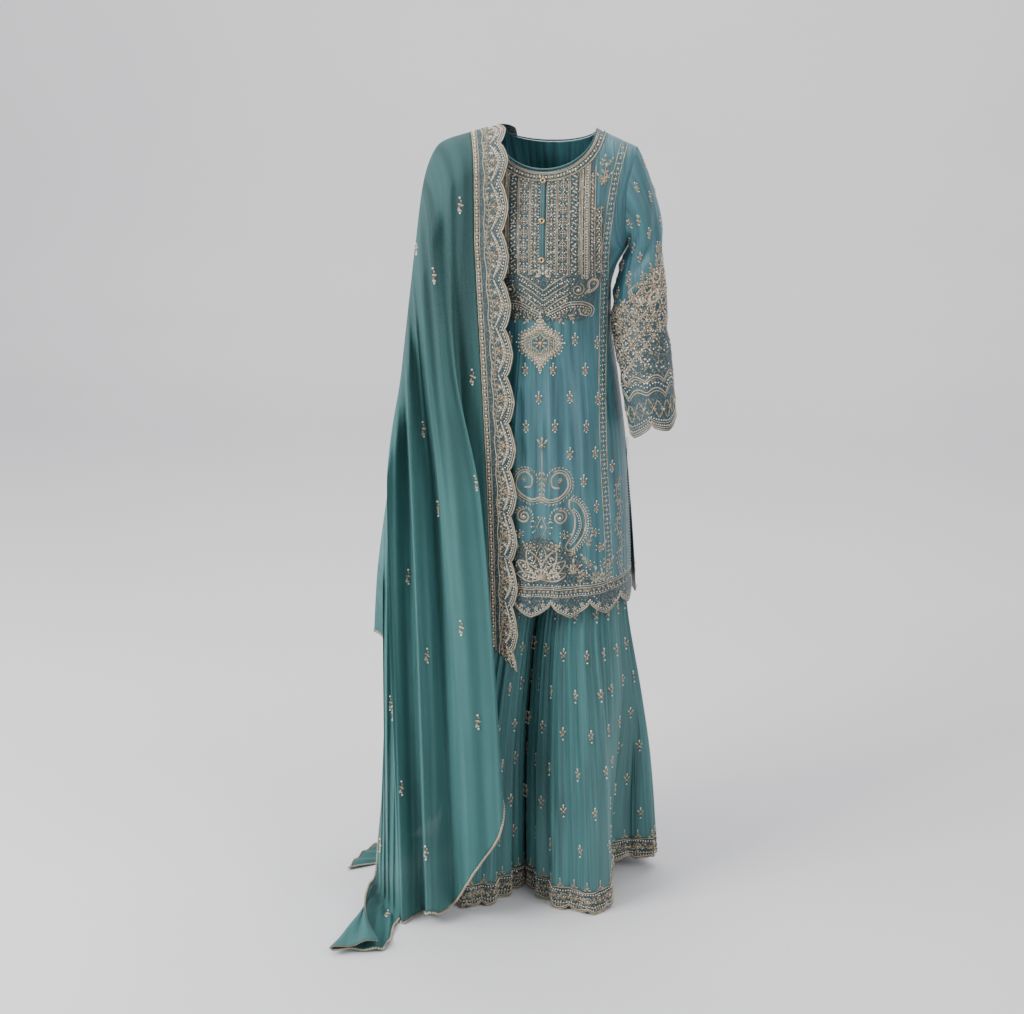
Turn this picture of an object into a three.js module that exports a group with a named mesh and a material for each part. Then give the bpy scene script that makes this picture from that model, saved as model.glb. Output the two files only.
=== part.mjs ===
// A gharara suit as it is worn: a kurta, two wide gathered gharara legs and a dupatta over one shoulder.
// Millimetres, +Z up. The front faces -Y and the wearer's left is +X.
// The origin is midway between the neck ends of the two shoulder seams.
import * as THREE from "three";

// Driving sizes.
const floorZ = -1478;
const kurtaWall = 1.8;
const ghararaWall = 1.8;
const dupattaWall = 1;
const seamGap = 0.5;

const neckHalf = 86;
const neckDropFront = 68;
const neckDropBack = 28;
const shoulderTipX = 157;
const shoulderSlope = 0.44;
const shoulderRound = 75;
const armpitZ = -205;
const kurtaHemZ = -846;
const slitTopZ = -520;
const kurtaScallop = { depth: 28, columns: 6, tip: 18 };

const cuffScallop = { depth: 20, count: 4 };
const legSeamZ = -820;
const hemBandTopZ = -1428;
const hemScallop = { depth: 10, count: 20, sideLift: 24 };
const gatherCount = 16;
const dupattaScallop = { depth: 15, length: 84 };
const dupattaBorderShare = 0.08;
const dupattaWalk = 1040;

// How finely each wall is divided: across, then along.
const grid = {
  kurtaFront: [39, 12],
  kurtaBack: [28, 10],
  sleeve: [20, 8],
  upperLeg: [20, 5],
  flare: [64, 5],
  hemBand: [80, 1],
  dupattaCloth: [36, 28],
  dupattaBorder: [2, 60],
  placket: [2, 5],
  waistband: [24, 1],
};

// The kurta's girth: the half width, its two depths, and where a panel is cut off at the armhole.
const torso = [
  { z: -880, reach: 159, front: 140, back: 128, edge: 159 },
  { z: -700, reach: 151, front: 128, back: 122, edge: 151 },
  { z: -560, reach: 142, front: 119, back: 116, edge: 142 },
  { z: -450, reach: 128, front: 113, back: 101, edge: 128 },
  { z: -340, reach: 113, front: 109, back: 88, edge: 113 },
  { z: -285, reach: 113, front: 114, back: 88, edge: 113 },
  { z: -245, reach: 122, front: 119, back: 90, edge: 122 },
  { z: -205, reach: 143, front: 120, back: 92, edge: 143 },
  { z: -150, reach: 160, front: 113, back: 90, edge: 141 },
  { z: -100, reach: 168, front: 101, back: 84, edge: 143 },
  { z: -40, reach: 174, front: 86, back: 74, edge: 156 },
  { z: 20, reach: 174, front: 74, back: 64, edge: 157 },
];

// A sleeve's rings below the armhole: centre, half width and half depth, and the tilt out of level.
const leftSleeve = [
  { along: 0.18, x: 172, y: 2, z: -164, across: 47, deep: 60, tilt: 56 },
  { along: 0.36, x: 167, y: 0, z: -228, across: 43, deep: 59, tilt: 28 },
  { along: 0.56, x: 166, y: -8, z: -304, across: 49, deep: 57, tilt: 12 },
  { along: 0.8, x: 178, y: -26, z: -410, across: 48, deep: 55, tilt: 8 },
  { along: 1, x: 196, y: -52, z: -514, across: 44, deep: 54, tilt: 14 },
];
const rightSleeve = [
  { along: 0.18, x: 172, y: 2, z: -164, across: 47, deep: 58, tilt: 56 },
  { along: 0.36, x: 166, y: 2, z: -228, across: 42, deep: 56, tilt: 28 },
  { along: 0.56, x: 164, y: 0, z: -304, across: 47, deep: 54, tilt: 12 },
  { along: 0.8, x: 174, y: -6, z: -410, across: 45, deep: 53, tilt: 8 },
  { along: 1, x: 186, y: -14, z: -514, across: 43, deep: 52, tilt: 12 },
];

// The gharara above its gathers. Split runs from 0, both legs in one, to 1, a leg of its own.
const hips = [
  { z: -822, reach: 144, front: 106, back: 98, split: 1 },
  { z: -690, reach: 138, front: 104, back: 98, split: 1 },
  { z: -640, reach: 135, front: 103, back: 99, split: 0.75 },
  { z: -560, reach: 130, front: 102, back: 98, split: 0 },
  { z: -470, reach: 122, front: 98, back: 90, split: 0 },
  { z: -345, reach: 110, front: 92, back: 76, split: 0 },
];
const waistTopZ = -345;
const waistLowZ = -385;

// The flared legs: their inner and outer sides, front and back.
const leftFlare = [
  { z: -1480, inner: -46, outer: 222, front: -130, back: 210 },
  { z: -1230, inner: -44, outer: 202, front: -126, back: 170 },
  { z: -1084, inner: -36, outer: 182, front: -121, back: 140 },
  { z: -900, inner: -18, outer: 152, front: -113, back: 104 },
  { z: -820, inner: 0.4, outer: 144, front: -106, back: 98 },
];
const rightFlare = [
  { z: -1480, inner: -47.2, outer: -250, front: -130, back: 210 },
  { z: -1230, inner: -45.2, outer: -214, front: -126, back: 170 },
  { z: -1084, inner: -37.2, outer: -186, front: -121, back: 140 },
  { z: -900, inner: -19.2, outer: -152, front: -113, back: 104 },
  { z: -820, inner: -0.8, outer: -144, front: -106, back: 98 },
];
// The plan of a flare at its hem, as a share of its full oval: 0 outwards, -90 to the front, 90 to the back.
// One deep fold parts the front of the flare from its side, swung round so that the side lies behind it,
// and a shallower one parts the side from the back.
const flarePlan = [
  { turn: -180, share: 1, swing: 0 },
  { turn: -90, share: 1, swing: 0 },
  { turn: -76, share: 0.97, swing: 0 },
  { turn: -66, share: 0.83, swing: 0 },
  { turn: -56, share: 0.66, swing: -2 },
  { turn: -46, share: 0.43, swing: 4 },
  { turn: -36, share: 0.31, swing: 26 },
  { turn: -28, share: 0.35, swing: 44 },
  { turn: -20, share: 0.5, swing: 42 },
  { turn: -10, share: 0.74, swing: 29 },
  { turn: 0, share: 0.94, swing: 14 },
  { turn: 10, share: 1.03, swing: 9 },
  { turn: 22, share: 1.01, swing: 4 },
  { turn: 40, share: 0.98, swing: 0 },
  { turn: 58, share: 0.86, swing: 0 },
  { turn: 76, share: 0.98, swing: 0 },
  { turn: 180, share: 1, swing: 0 },
];

// The dupatta's line of rest: over the shoulder and down the outside of the arm, by its share of width.
const restLine = [
  { share: -0.08, x: -80, z: 8.3 },
  { share: 0, x: -144, z: -8 },
  { share: 0.07, x: -198, z: -28 },
  { share: 0.14, x: -227, z: -88 },
  { share: 0.26, x: -246, z: -208 },
  { share: 0.44, x: -270, z: -388 },
  { share: 0.68, x: -303, z: -638 },
  { share: 0.88, x: -334, z: -846 },
  { share: 1, x: -343, z: -962 },
];
// Where the hanging cloth lies in plan, by its share of width, at three or four heights.
const frontChest = [
  { share: -0.08, x: -56, y: -127 },
  { share: 0, x: -121, y: -107 },
  { share: 0.07, x: -158, y: -112 },
  { share: 0.12, x: -178, y: -94 },
  { share: 0.18, x: -206, y: -98 },
  { share: 0.3, x: -244, y: -62 },
  { share: 1, x: -290, y: -60 },
];
const frontWaist = [
  { share: -0.08, x: -48, y: -131 },
  { share: 0, x: -110, y: -119 },
  { share: 0.056, x: -147, y: -112 },
  { share: 0.111, x: -151, y: -135 },
  { share: 0.21, x: -197, y: -133 },
  { share: 0.29, x: -222, y: -96 },
  { share: 0.38, x: -244, y: -112 },
  { share: 0.46, x: -255, y: -84 },
  { share: 0.56, x: -274, y: -100 },
  { share: 0.64, x: -277, y: -74 },
  { share: 0.76, x: -288, y: -72 },
  { share: 1, x: -277, y: -48 },
];
const frontHip = [
  { share: -0.08, x: -43, y: -136 },
  { share: 0, x: -100, y: -130 },
  { share: 0.056, x: -140, y: -124 },
  { share: 0.111, x: -106, y: -156 },
  { share: 0.21, x: -170, y: -166 },
  { share: 0.29, x: -198, y: -126 },
  { share: 0.38, x: -230, y: -164 },
  { share: 0.46, x: -246, y: -114 },
  { share: 0.56, x: -280, y: -146 },
  { share: 0.64, x: -276, y: -94 },
  { share: 0.76, x: -300, y: -84 },
  { share: 0.86, x: -292, y: -62 },
  { share: 0.93, x: -280, y: -48 },
  { share: 1, x: -264, y: -36 },
];
const frontFloor = [
  { share: -0.08, x: -38, y: -176 },
  { share: 0, x: -83, y: -158 },
  { share: 0.056, x: -118, y: -158 },
  { share: 0.111, x: -54, y: -194 },
  { share: 0.21, x: -122, y: -208 },
  { share: 0.29, x: -166, y: -166 },
  { share: 0.38, x: -204, y: -208 },
  { share: 0.46, x: -230, y: -158 },
  { share: 0.56, x: -262, y: -196 },
  { share: 0.66, x: -284, y: -150 },
  { share: 0.76, x: -306, y: -120 },
  { share: 0.86, x: -324, y: -86 },
  { share: 0.93, x: -334, y: -64 },
  { share: 1, x: -338, y: -40 },
];
const backChest = [
  { share: -0.08, x: -56, y: 104 },
  { share: 0, x: -121, y: 98 },
  { share: 0.08, x: -160, y: 108 },
  { share: 0.14, x: -184, y: 92 },
  { share: 0.3, x: -244, y: 74 },
  { share: 1, x: -290, y: 62 },
];
const backHip = [
  { share: -0.08, x: -46, y: 136 },
  { share: 0, x: -112, y: 134 },
  { share: 0.12, x: -160, y: 150 },
  { share: 0.22, x: -186, y: 118 },
  { share: 0.34, x: -222, y: 150 },
  { share: 0.46, x: -248, y: 112 },
  { share: 0.6, x: -286, y: 128 },
  { share: 0.76, x: -294, y: 86 },
  { share: 1, x: -298, y: 52 },
];
const backFloor = [
  { share: -0.08, x: -36, y: 206 },
  { share: 0, x: -100, y: 214 },
  { share: 0.12, x: -150, y: 234 },
  { share: 0.22, x: -186, y: 208 },
  { share: 0.34, x: -232, y: 226 },
  { share: 0.46, x: -268, y: 176 },
  { share: 0.6, x: -304, y: 178 },
  { share: 0.76, x: -322, y: 122 },
  { share: 1, x: -336, y: 52 },
];
// How far each end falls, how far it then lies on the floor, which way it heads there and bends, how
// softly it turns, and how high it lies over the cloth below it.
const frontEnd = [
  { share: -0.08, z: -981, run: 0, heading: 200, bend: 0, soft: 26, lift: 0 },
  { share: 0, z: -938, run: 0, heading: 200, bend: 0, soft: 26, lift: 0 },
  { share: 0.05, z: -1010, run: 0, heading: 200, bend: 0, soft: 26, lift: 0 },
  { share: 0.11, z: -1235, run: 0, heading: 200, bend: 0, soft: 26, lift: 0 },
  { share: 0.21, z: -1370, run: 0, heading: 205, bend: 0, soft: 26, lift: 0 },
  { share: 0.32, z: -1458, run: 0, heading: 215, bend: 0, soft: 26, lift: 0 },
  { share: 0.38, z: -1447, run: 0, heading: 240, bend: 0, soft: 26, lift: 0 },
  { share: 0.46, z: -1475, run: 0, heading: 262, bend: 0, soft: 22, lift: 0 },
  { share: 0.5, z: -1476, run: 0, heading: 266, bend: 0, soft: 22, lift: 0 },
  { share: 0.58, z: -1476, run: 0, heading: 274, bend: 0, soft: 22, lift: 0 },
  { share: 0.61, z: -1477, run: 24, heading: 274, bend: 0, soft: 22, lift: 0 },
  { share: 0.66, z: -1477, run: 135, heading: 275, bend: 0, soft: 22, lift: 0 },
  { share: 0.7, z: -1477, run: 168, heading: 275, bend: 0, soft: 22, lift: 0 },
  { share: 0.78, z: -1477, run: 200, heading: 267, bend: 0, soft: 22, lift: 3 },
  { share: 0.86, z: -1477, run: 248, heading: 259, bend: 0, soft: 34, lift: 9 },
  { share: 0.93, z: -1477, run: 258, heading: 265, bend: 7, soft: 60, lift: 18 },
  { share: 1, z: -1477, run: 272, heading: 258, bend: 24, soft: 80, lift: 22 },
];
const backEnd = [
  { share: -0.08, z: -1230, run: 0, heading: 120, bend: 0, soft: 26, lift: 0 },
  { share: 0, z: -1190, run: 0, heading: 120, bend: 0, soft: 26, lift: 0 },
  { share: 0.2, z: -1290, run: 0, heading: 120, bend: 0, soft: 26, lift: 0 },
  { share: 0.45, z: -1440, run: 0, heading: 130, bend: 0, soft: 26, lift: 0 },
  { share: 0.6, z: -1476, run: 12, heading: 160, bend: 0, soft: 26, lift: 0 },
  { share: 0.8, z: -1477, run: 64, heading: 188, bend: 0, soft: 26, lift: 0 },
  { share: 1, z: -1477, run: 88, heading: 210, bend: 0, soft: 26, lift: 0 },
];
const radians = (degrees) => (degrees * Math.PI) / 180;
const mix = (a, b, share) => a + (b - a) * share;
const clamp = (value, low, high) => Math.min(high, Math.max(low, value));
const ease = (share) => {
  const s = clamp(share, 0, 1);
  return s * s * (3 - 2 * s);
};

// Reads one column of a table at any key, on a smooth line that never overshoots its rows.
function read(rows, key, column, at) {
  const ordered = rows[0][key] < rows[rows.length - 1][key] ? rows : [...rows].reverse();
  const keys = ordered.map((row) => row[key]);
  const values = ordered.map((row) => row[column]);
  const last = keys.length - 1;
  if (at <= keys[0]) return values[0];
  if (at >= keys[last]) return values[last];
  const rise = (i) => (values[i + 1] - values[i]) / (keys[i + 1] - keys[i]);
  const slope = (i) => {
    if (i === 0) return rise(0);
    if (i === last) return rise(last - 1);
    const before = rise(i - 1);
    const after = rise(i);
    return before * after <= 0 ? 0 : (2 * before * after) / (before + after);
  };
  const i = keys.findIndex((value) => value > at) - 1;
  const span = keys[i + 1] - keys[i];
  const t = (at - keys[i]) / span;
  const start = (1 + 2 * t) * (1 - t) ** 2 * values[i] + t * (1 - t) ** 2 * span * slope(i);
  const end = t * t * (3 - 2 * t) * values[i + 1] + t * t * (t - 1) * span * slope(i + 1);
  return start + end;
}

// The depth of a scalloped edge at a place in its repeat: 0 at the notch and 1 at the tip.
function scallopShape(place) {
  const share = Math.abs((((place % 1) + 1) % 1) * 2 - 1);
  const round = Math.sqrt(Math.max(0, 1 - share * share));
  return mix(1 - share, round, 0.55);
}

// The direction that is as square as possible to every face that meets at a point of the cloth.
function squareTo(normals) {
  const mean = normals.reduce((sum, normal) => sum.add(normal), new THREE.Vector3()).normalize();
  for (let round = 0; round < 12; round += 1) {
    const worst = normals.reduce((a, b) => (a.dot(mean) < b.dot(mean) ? a : b));
    mean.addScaledVector(worst, 0.2).normalize();
  }
  return mean;
}

// A closed cloth wall from its outer face: pointAt(u, v) with u and v from 0 to 1.
// Side is 1 or -1, for the side of the face on which the thickness lies. Settle corrects an inner point.
function clothWall(pointAt, [across, along], thickness, side, { ring = false, settle } = {}) {
  const columns = ring ? across : across + 1;
  const outer = [];
  for (let j = 0; j <= along; j += 1) {
    for (let i = 0; i < columns; i += 1) outer.push(pointAt(i / across, j / along));
  }
  const place = (i, j) => j * columns + (ring ? (i + columns) % columns : i);
  const shift = outer.length;
  const faces = [];
  const meeting = outer.map(() => []);
  const quad = (a, b, c, d) => faces.push([a, b, c], [a, c, d]);
  const clothFace = (...corners) => {
    const [a, b, c] = corners.map((index) => outer[index]);
    const normal = b.clone().sub(a).cross(c.clone().sub(a)).normalize();
    corners.forEach((index) => meeting[index].push(normal));
    faces.push(corners, corners.map((index) => index + shift).reverse());
  };
  for (let j = 0; j < along; j += 1) {
    for (let i = 0; i < across; i += 1) {
      const [a, b, c, d] = [place(i, j), place(i + 1, j), place(i + 1, j + 1), place(i, j + 1)];
      clothFace(a, b, c);
      clothFace(a, c, d);
    }
  }
  const inner = outer.map((point, index) => {
    const moved = point.clone().addScaledVector(squareTo(meeting[index]), side * thickness);
    if (settle) settle(moved, point, (index % columns) / across, Math.floor(index / columns) / along);
    return moved;
  });
  const points = [...outer, ...inner];
  for (let i = 0; i < across; i += 1) {
    quad(place(i + 1, 0), place(i, 0), place(i, 0) + shift, place(i + 1, 0) + shift);
    quad(place(i, along), place(i + 1, along), place(i + 1, along) + shift, place(i, along) + shift);
  }
  for (let j = 0; j < along && !ring; j += 1) {
    quad(place(0, j), place(0, j + 1), place(0, j + 1) + shift, place(0, j) + shift);
    quad(place(across, j + 1), place(across, j), place(across, j) + shift, place(across, j + 1) + shift);
  }
  return solidFrom(points, faces);
}

// A geometry from shared points, with its faces turned outwards.
function solidFrom(points, faces) {
  const volume = faces.reduce((sum, [a, b, c]) => {
    return sum + points[a].dot(points[b].clone().cross(points[c]));
  }, 0);
  const turned = volume < 0 ? faces.map(([a, b, c]) => [a, c, b]) : faces;
  const geometry = new THREE.BufferGeometry().setFromPoints(points);
  geometry.setIndex(turned.flat());
  geometry.computeVertexNormals();
  return geometry;
}

// Kurta.

const shoulderZ = (x) => -shoulderSlope * (Math.abs(x) - neckHalf);

// Half a superellipse's outline, at a place from the middle, 0, to the side, 1.
const fullness = 2.3;
const girthX = (reach, turn) => reach * Math.sign(turn) * Math.abs(Math.sin(turn)) ** (2 / fullness);

// The depth of a kurta panel at a place on its width and height. Facing is -1 in front and 1 behind.
function kurtaDepth(x, z, facing) {
  const reach = read(torso, "z", "reach", z);
  const depth = read(torso, "z", facing < 0 ? "front" : "back", z);
  const share = clamp(Math.abs(x) / reach, 0, 1);
  const below = clamp((shoulderZ(x) - z) / shoulderRound, 0, 1);
  const over = Math.sqrt(1 - (1 - below) ** 2);
  const folds = 2.6 * Math.cos((x / reach) * 15 + z * 0.004) * ease((-z - 330) / 160);
  const fading = ease((reach - Math.abs(x)) / 40);
  return facing * ((depth + folds * fading) * (1 - share ** fullness) ** (1 / fullness) * over + seamGap / 2);
}

const neckShare = 0.5;
function kurtaTop(u, facing) {
  const side = Math.sign(u);
  const share = Math.abs(u);
  if (share <= neckShare) {
    const turn = (share / neckShare) * (Math.PI / 2);
    const drop = facing < 0 ? neckDropFront : neckDropBack;
    return { x: side * neckHalf * Math.sin(turn), z: -drop * Math.cos(turn) };
  }
  const x = mix(neckHalf, shoulderTipX, (share - neckShare) / (1 - neckShare));
  return { x: side * x, z: shoulderZ(x) };
}

// The hem, with its scallops along the panel and a little lift at the slits.
function kurtaHem(u, facing, scallop) {
  const lift = 10 * Math.abs(u) ** 3 * (facing < 0 ? 1 : 0.4);
  return kurtaHemZ + lift - kurtaScallop.depth * scallop;
}

// A panel's outer face: u from -1 to 1 across it and v from 0 at the hem to 1 at the top.
function kurtaPoint(u, v, facing, scallop) {
  const top = kurtaTop(u, facing);
  const z = mix(kurtaHem(u, facing, scallop), top.z, v);
  const reach = read(torso, "z", "reach", z);
  const edge = read(torso, "z", "edge", z);
  const turnAtEdge = z <= armpitZ ? Math.PI / 2 : Math.asin((edge / reach) ** (fullness / 2));
  const open = ease((slitTopZ - z) / (slitTopZ - kurtaHemZ));
  const wider = facing < 0 ? 1 : 1 + 0.045 * open;
  const body = wider * girthX(reach, u * turnAtEdge);
  const x = mix(body, top.x, ease((z - top.z + 110) / 110));
  const y = kurtaDepth(x / wider, z, facing) + facing * 3 * open * Math.abs(u) ** 6;
  return new THREE.Vector3(x, y, z);
}

// The columns of a panel, spaced evenly along its hem.
function evenColumns(facing, columns) {
  const walk = [];
  const steps = 240;
  let length = 0;
  for (let i = 0; i <= steps; i += 1) {
    const at = (k) => kurtaPoint((2 * k) / steps - 1, 0, facing, 0);
    if (i > 0) length += at(i).distanceTo(at(i - 1));
    walk.push({ length, u: (2 * i) / steps - 1 });
  }
  return (k) => read(walk, "length", "u", (length * k) / columns);
}

function kurtaPanel(facing, [columns, rows], tip) {
  const spread = evenColumns(facing, columns);
  const scallop = (k) => scallopShape((k - tip) / kurtaScallop.columns + 0.5);
  const rowAt = (v) => 1 - (1 - v) ** 1.25;
  const face = (u, v) => kurtaPoint(spread(u * columns), rowAt(v), facing, scallop(u * columns));
  const side = facing < 0 ? -1 : 1;
  const settle = (moved) => {
    const least = seamGap / 2;
    moved.y = facing < 0 ? Math.min(moved.y, -least) : Math.max(moved.y, least);
  };
  return clothWall(face, [columns, rows], kurtaWall, side, { settle });
}

// Sleeves.

// The armhole's edge, from the shoulder tip at turn 0, down the front, and up the back.
function armholePoint(turn) {
  const low = armpitZ;
  const high = shoulderZ(shoulderTipX);
  const z = mix(low, high, (1 + Math.cos(turn)) / 2);
  const x = read(torso, "z", "edge", z);
  return new THREE.Vector3(x, kurtaDepth(x, z, Math.sin(turn) >= 0 ? -1 : 1), z);
}

function sleevePoint(table, turn, along) {
  const rings = [{ along: 0, x: 157, y: 0, z: -120, across: 84, deep: 60, tilt: 80 }, ...table];
  const ring = (column) => read(rings, "along", column, along);
  const tilt = radians(ring("tilt"));
  const out = Math.cos(turn) * ring("across");
  const loose = 1 + 0.03 * Math.cos(4 * turn + 9 * along) * ease(along / 0.4);
  const oval = new THREE.Vector3(
    ring("x") + out * Math.cos(tilt) * loose,
    ring("y") - Math.sin(turn) * ring("deep") * loose,
    ring("z") + out * Math.sin(tilt),
  );
  const cuff = ease((along - 0.8) / 0.2) * cuffScallop.depth;
  oval.z -= cuff * scallopShape((turn / (2 * Math.PI)) * cuffScallop.count);
  const sewn = armholePoint(turn);
  sewn.x += seamGap + 0.3;
  return sewn.lerp(oval, ease(along / 0.3));
}

function sleeve(table, mirror) {
  const face = (u, v) => {
    const point = sleevePoint(table, u * 2 * Math.PI, v);
    point.x *= mirror;
    return point;
  };
  const settle = (moved, point, u, v) => {
    if (v === 0) moved.x = point.x;
  };
  return clothWall(face, grid.sleeve, kurtaWall, mirror, { ring: true, settle });
}

// Neck binding, front placket and buttons.

function neckBinding() {
  const radius = 1.7;
  const steps = 16;
  const loop = [];
  for (const facing of [-1, 1]) {
    for (let k = 0; k < steps; k += 1) {
      const u = facing * neckShare * Math.cos((Math.PI * k) / steps);
      const at = (du, v) => kurtaPoint(clamp(u + du, -neckShare, neckShare), v, facing, 0);
      const edge = at(0, 1);
      const along = at(0.02, 1).sub(at(-0.02, 1)).normalize();
      const up = edge.clone().sub(at(0, 0.985));
      const outwards = along.clone().cross(up).normalize();
      if (outwards.y * facing < 0) outwards.negate();
      const away = outwards.clone().cross(along).normalize();
      if (away.dot(up) < 0) away.negate();
      edge.addScaledVector(outwards, -kurtaWall / 2);
      edge.addScaledVector(away, radius + 0.8);
      loop.push(edge);
    }
  }
  const path = new THREE.CatmullRomCurve3(loop, true, "centripetal");
  return new THREE.TubeGeometry(path, 44, radius, 6, true);
}

const placket = { halfWidth: 4, topZ: -80, lowZ: -226, wall: 1.1 };
const placketY = (x, z) => kurtaDepth(x, z, -1) - seamGap - placket.wall;

function frontPlacket() {
  const face = (u, v) => {
    const x = mix(-placket.halfWidth, placket.halfWidth, u);
    const z = mix(placket.lowZ, placket.topZ, v);
    return new THREE.Vector3(x, placketY(x, z), z);
  };
  return clothWall(face, grid.placket, placket.wall, -1);
}

const button = { radius: 5, bead: 1.5, heights: [-84, -152, -219] };

function buttonRing() {
  return new THREE.TorusGeometry(button.radius - button.bead, button.bead, 6, 12);
}

// Gharara.

// The hips and upper leg as one wall a side, from the front seam round the outside to the back seam.
function hipPoint(side, u, z) {
  const reach = read(hips, "z", "reach", z);
  const split = read(hips, "z", "split", z);
  const centre = (reach / 2 + seamGap / 2) * split;
  const half = reach - centre;
  const ending = Math.acos(clamp(-(centre - seamGap) / half, -1, 0));
  const turn = mix(-ending, ending, u);
  const depth = Math.sin(turn) < 0 ? read(hips, "z", "front", z) : read(hips, "z", "back", z);
  const x = Math.max(seamGap, centre + half * Math.cos(turn));
  const parting = split > 0.99 ? (seamGap / 2) * Math.sign(Math.sin(turn)) : 0;
  return new THREE.Vector3(side * x, depth * Math.sin(turn) + parting, z);
}

function upperLeg(side) {
  const face = (u, v) => hipPoint(side, u, mix(legSeamZ, waistLowZ - seamGap, v));
  const settle = (moved, point, u) => {
    moved.z = point.z;
    moved.x = side * Math.max(seamGap, side * moved.x);
    if (u === 0) moved.y = Math.min(moved.y, -seamGap / 2);
    if (u === 1) moved.y = Math.max(moved.y, seamGap / 2);
  };
  return clothWall(face, grid.upperLeg, ghararaWall, -side, { settle });
}

function waistband() {
  const face = (u, v) => {
    const z = mix(waistLowZ, waistTopZ, v);
    const turn = u * 2 * Math.PI;
    const depth = Math.sin(turn) < 0 ? read(hips, "z", "front", z) : read(hips, "z", "back", z);
    const reach = read(hips, "z", "reach", z);
    return new THREE.Vector3(reach * Math.cos(turn), depth * Math.sin(turn), z);
  };
  return clothWall(face, grid.waistband, ghararaWall + 1, -1, { ring: true });
}

// A flared leg with its gathers, which grow from the seam to the hem, and the broad folds of its plan.
function flarePoint(table, side, u, z) {
  const turn = (2 * u - 1) * Math.PI;
  const at = (column) => read(table, "z", column, z);
  const centreX = (at("inner") + at("outer")) / 2;
  const centreY = (at("front") + at("back")) / 2;
  const halfX = Math.abs(at("outer") - at("inner")) / 2;
  const halfY = (at("back") - at("front")) / 2;
  const down = clamp((legSeamZ - z) / (legSeamZ - floorZ), 0, 1);
  const uneven = turn + 0.09 * Math.sin(2 * turn) + 0.05 * Math.sin(5 * turn);
  const height = mix(1.6, 8, down ** 0.8) * (0.75 + 0.25 * Math.cos(3 * turn + 0.8));
  const gather = height * (Math.cos(gatherCount * uneven) - 1);
  const folded = ease(down * 1.1);
  const degrees = (turn * 180) / Math.PI;
  const plan = mix(1, read(flarePlan, "turn", "share", degrees), folded);
  const swung = turn + radians(read(flarePlan, "turn", "swing", degrees)) * folded;
  const x = centreX + side * (halfX * plan + gather) * Math.cos(swung);
  return new THREE.Vector3(x, centreY + (halfY * plan + gather) * Math.sin(swung), z);
}

function flare(table, side) {
  const face = (u, v) => flarePoint(table, side, u, mix(hemBandTopZ + hemLift(u), legSeamZ - seamGap, v));
  const settle = (moved, point) => {
    moved.z = point.z;
  };
  return clothWall(face, grid.flare, ghararaWall, -side, { ring: true, settle });
}

// The border at a leg's hem, with small scallops. It lies lower in front than at the outer side.
function hemLift(u) {
  return hemScallop.sideLift * ease((Math.cos((2 * u - 1) * Math.PI - 0.35) + 0.15) / 1.1);
}

function hemBand(table, side) {
  const face = (u, v) => {
    const low = floorZ + hemLift(u) + hemScallop.depth * (1 - scallopShape(u * hemScallop.count));
    return flarePoint(table, side, u, mix(low, hemBandTopZ + hemLift(u) - seamGap, v));
  };
  const settle = (moved, point) => {
    moved.z = point.z;
  };
  return clothWall(face, grid.hemBand, ghararaWall, -side, { ring: true, settle });
}

// Dupatta.

// Where the hanging cloth lies in plan, between the tables for the chest, the hip and the floor.
const frontLevels = [
  { z: -200, plan: frontChest },
  { z: -420, plan: frontWaist },
  { z: -650, plan: frontHip },
  { z: -1420, plan: frontFloor },
];
const backLevels = [
  { z: -200, plan: backChest },
  { z: -650, plan: backHip },
  { z: -1420, plan: backFloor },
];
function hangingPlace(levels, share, z) {
  const place = (column) => {
    const line = levels.map((level) => ({ z: level.z, value: read(level.plan, "share", column, share) }));
    return read(line, "z", "value", z);
  };
  return { x: place("x"), y: place("y") };
}

// A point of the dupatta: share across its width and way from -1 at the front end to 1 at the back end.
function dupattaPoint(share, way) {
  const front = way < 0;
  const levels = front ? frontLevels : backLevels;
  const end = front ? frontEnd : backEnd;
  const rest = { x: read(restLine, "share", "x", share), z: read(restLine, "share", "z", share) };
  const arc = { height: mix(70, 110, ease(share / 0.3)), length: 150 };
  const fall = rest.z - read(end, "share", "z", share);
  const run = read(end, "share", "run", share);
  const length = arc.length + fall - arc.height + run;
  const gone = Math.abs(way) * length;
  const turn = Math.min(1, gone / arc.length) * (Math.PI / 2);
  const straight = Math.max(0, gone - arc.length);
  const room = fall - arc.height;
  const soft = read(end, "share", "soft", share);
  const past = straight - room + soft;
  const lost = past <= 0 || run === 0 ? 0 : past < 2 * soft ? (past * past) / (4 * soft) : past - soft;
  const z = rest.z - arc.height * (1 - Math.cos(turn)) - (straight - lost);
  const hang = hangingPlace(levels, share, z);
  const forward = Math.sin(turn);
  const bend = (read(end, "share", "bend", share) * lost) / Math.max(1, run);
  const course = radians(read(end, "share", "heading", share) + bend);
  const lift = read(end, "share", "lift", share) * ease(lost / 60);
  const ripple = 1.2 * (1 - Math.cos(lost * 0.06)) * ease(lost / 60);
  return new THREE.Vector3(
    mix(rest.x, hang.x, forward) + lost * Math.cos(course),
    mix(4, hang.y, forward) + lost * Math.sin(course),
    Math.max(floorZ + dupattaWall, z) + ripple + lift,
  );
}

function dupattaCloth() {
  const rows = grid.dupattaCloth[1];
  const frontRows = (rows * 4) / 7;
  const wayAt = (v) => {
    const row = v * rows - frontRows;
    return row < 0 ? (1 + row / frontRows) ** 1.15 - 1 : 1 - (1 - row / (rows - frontRows)) ** 1.1;
  };
  const face = (u, v) => dupattaPoint(u, wayAt(v));
  const settle = (moved) => {
    moved.z = Math.max(moved.z, floorZ);
  };
  return clothWall(face, grid.dupattaCloth, dupattaWall, 1, { settle });
}

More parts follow.
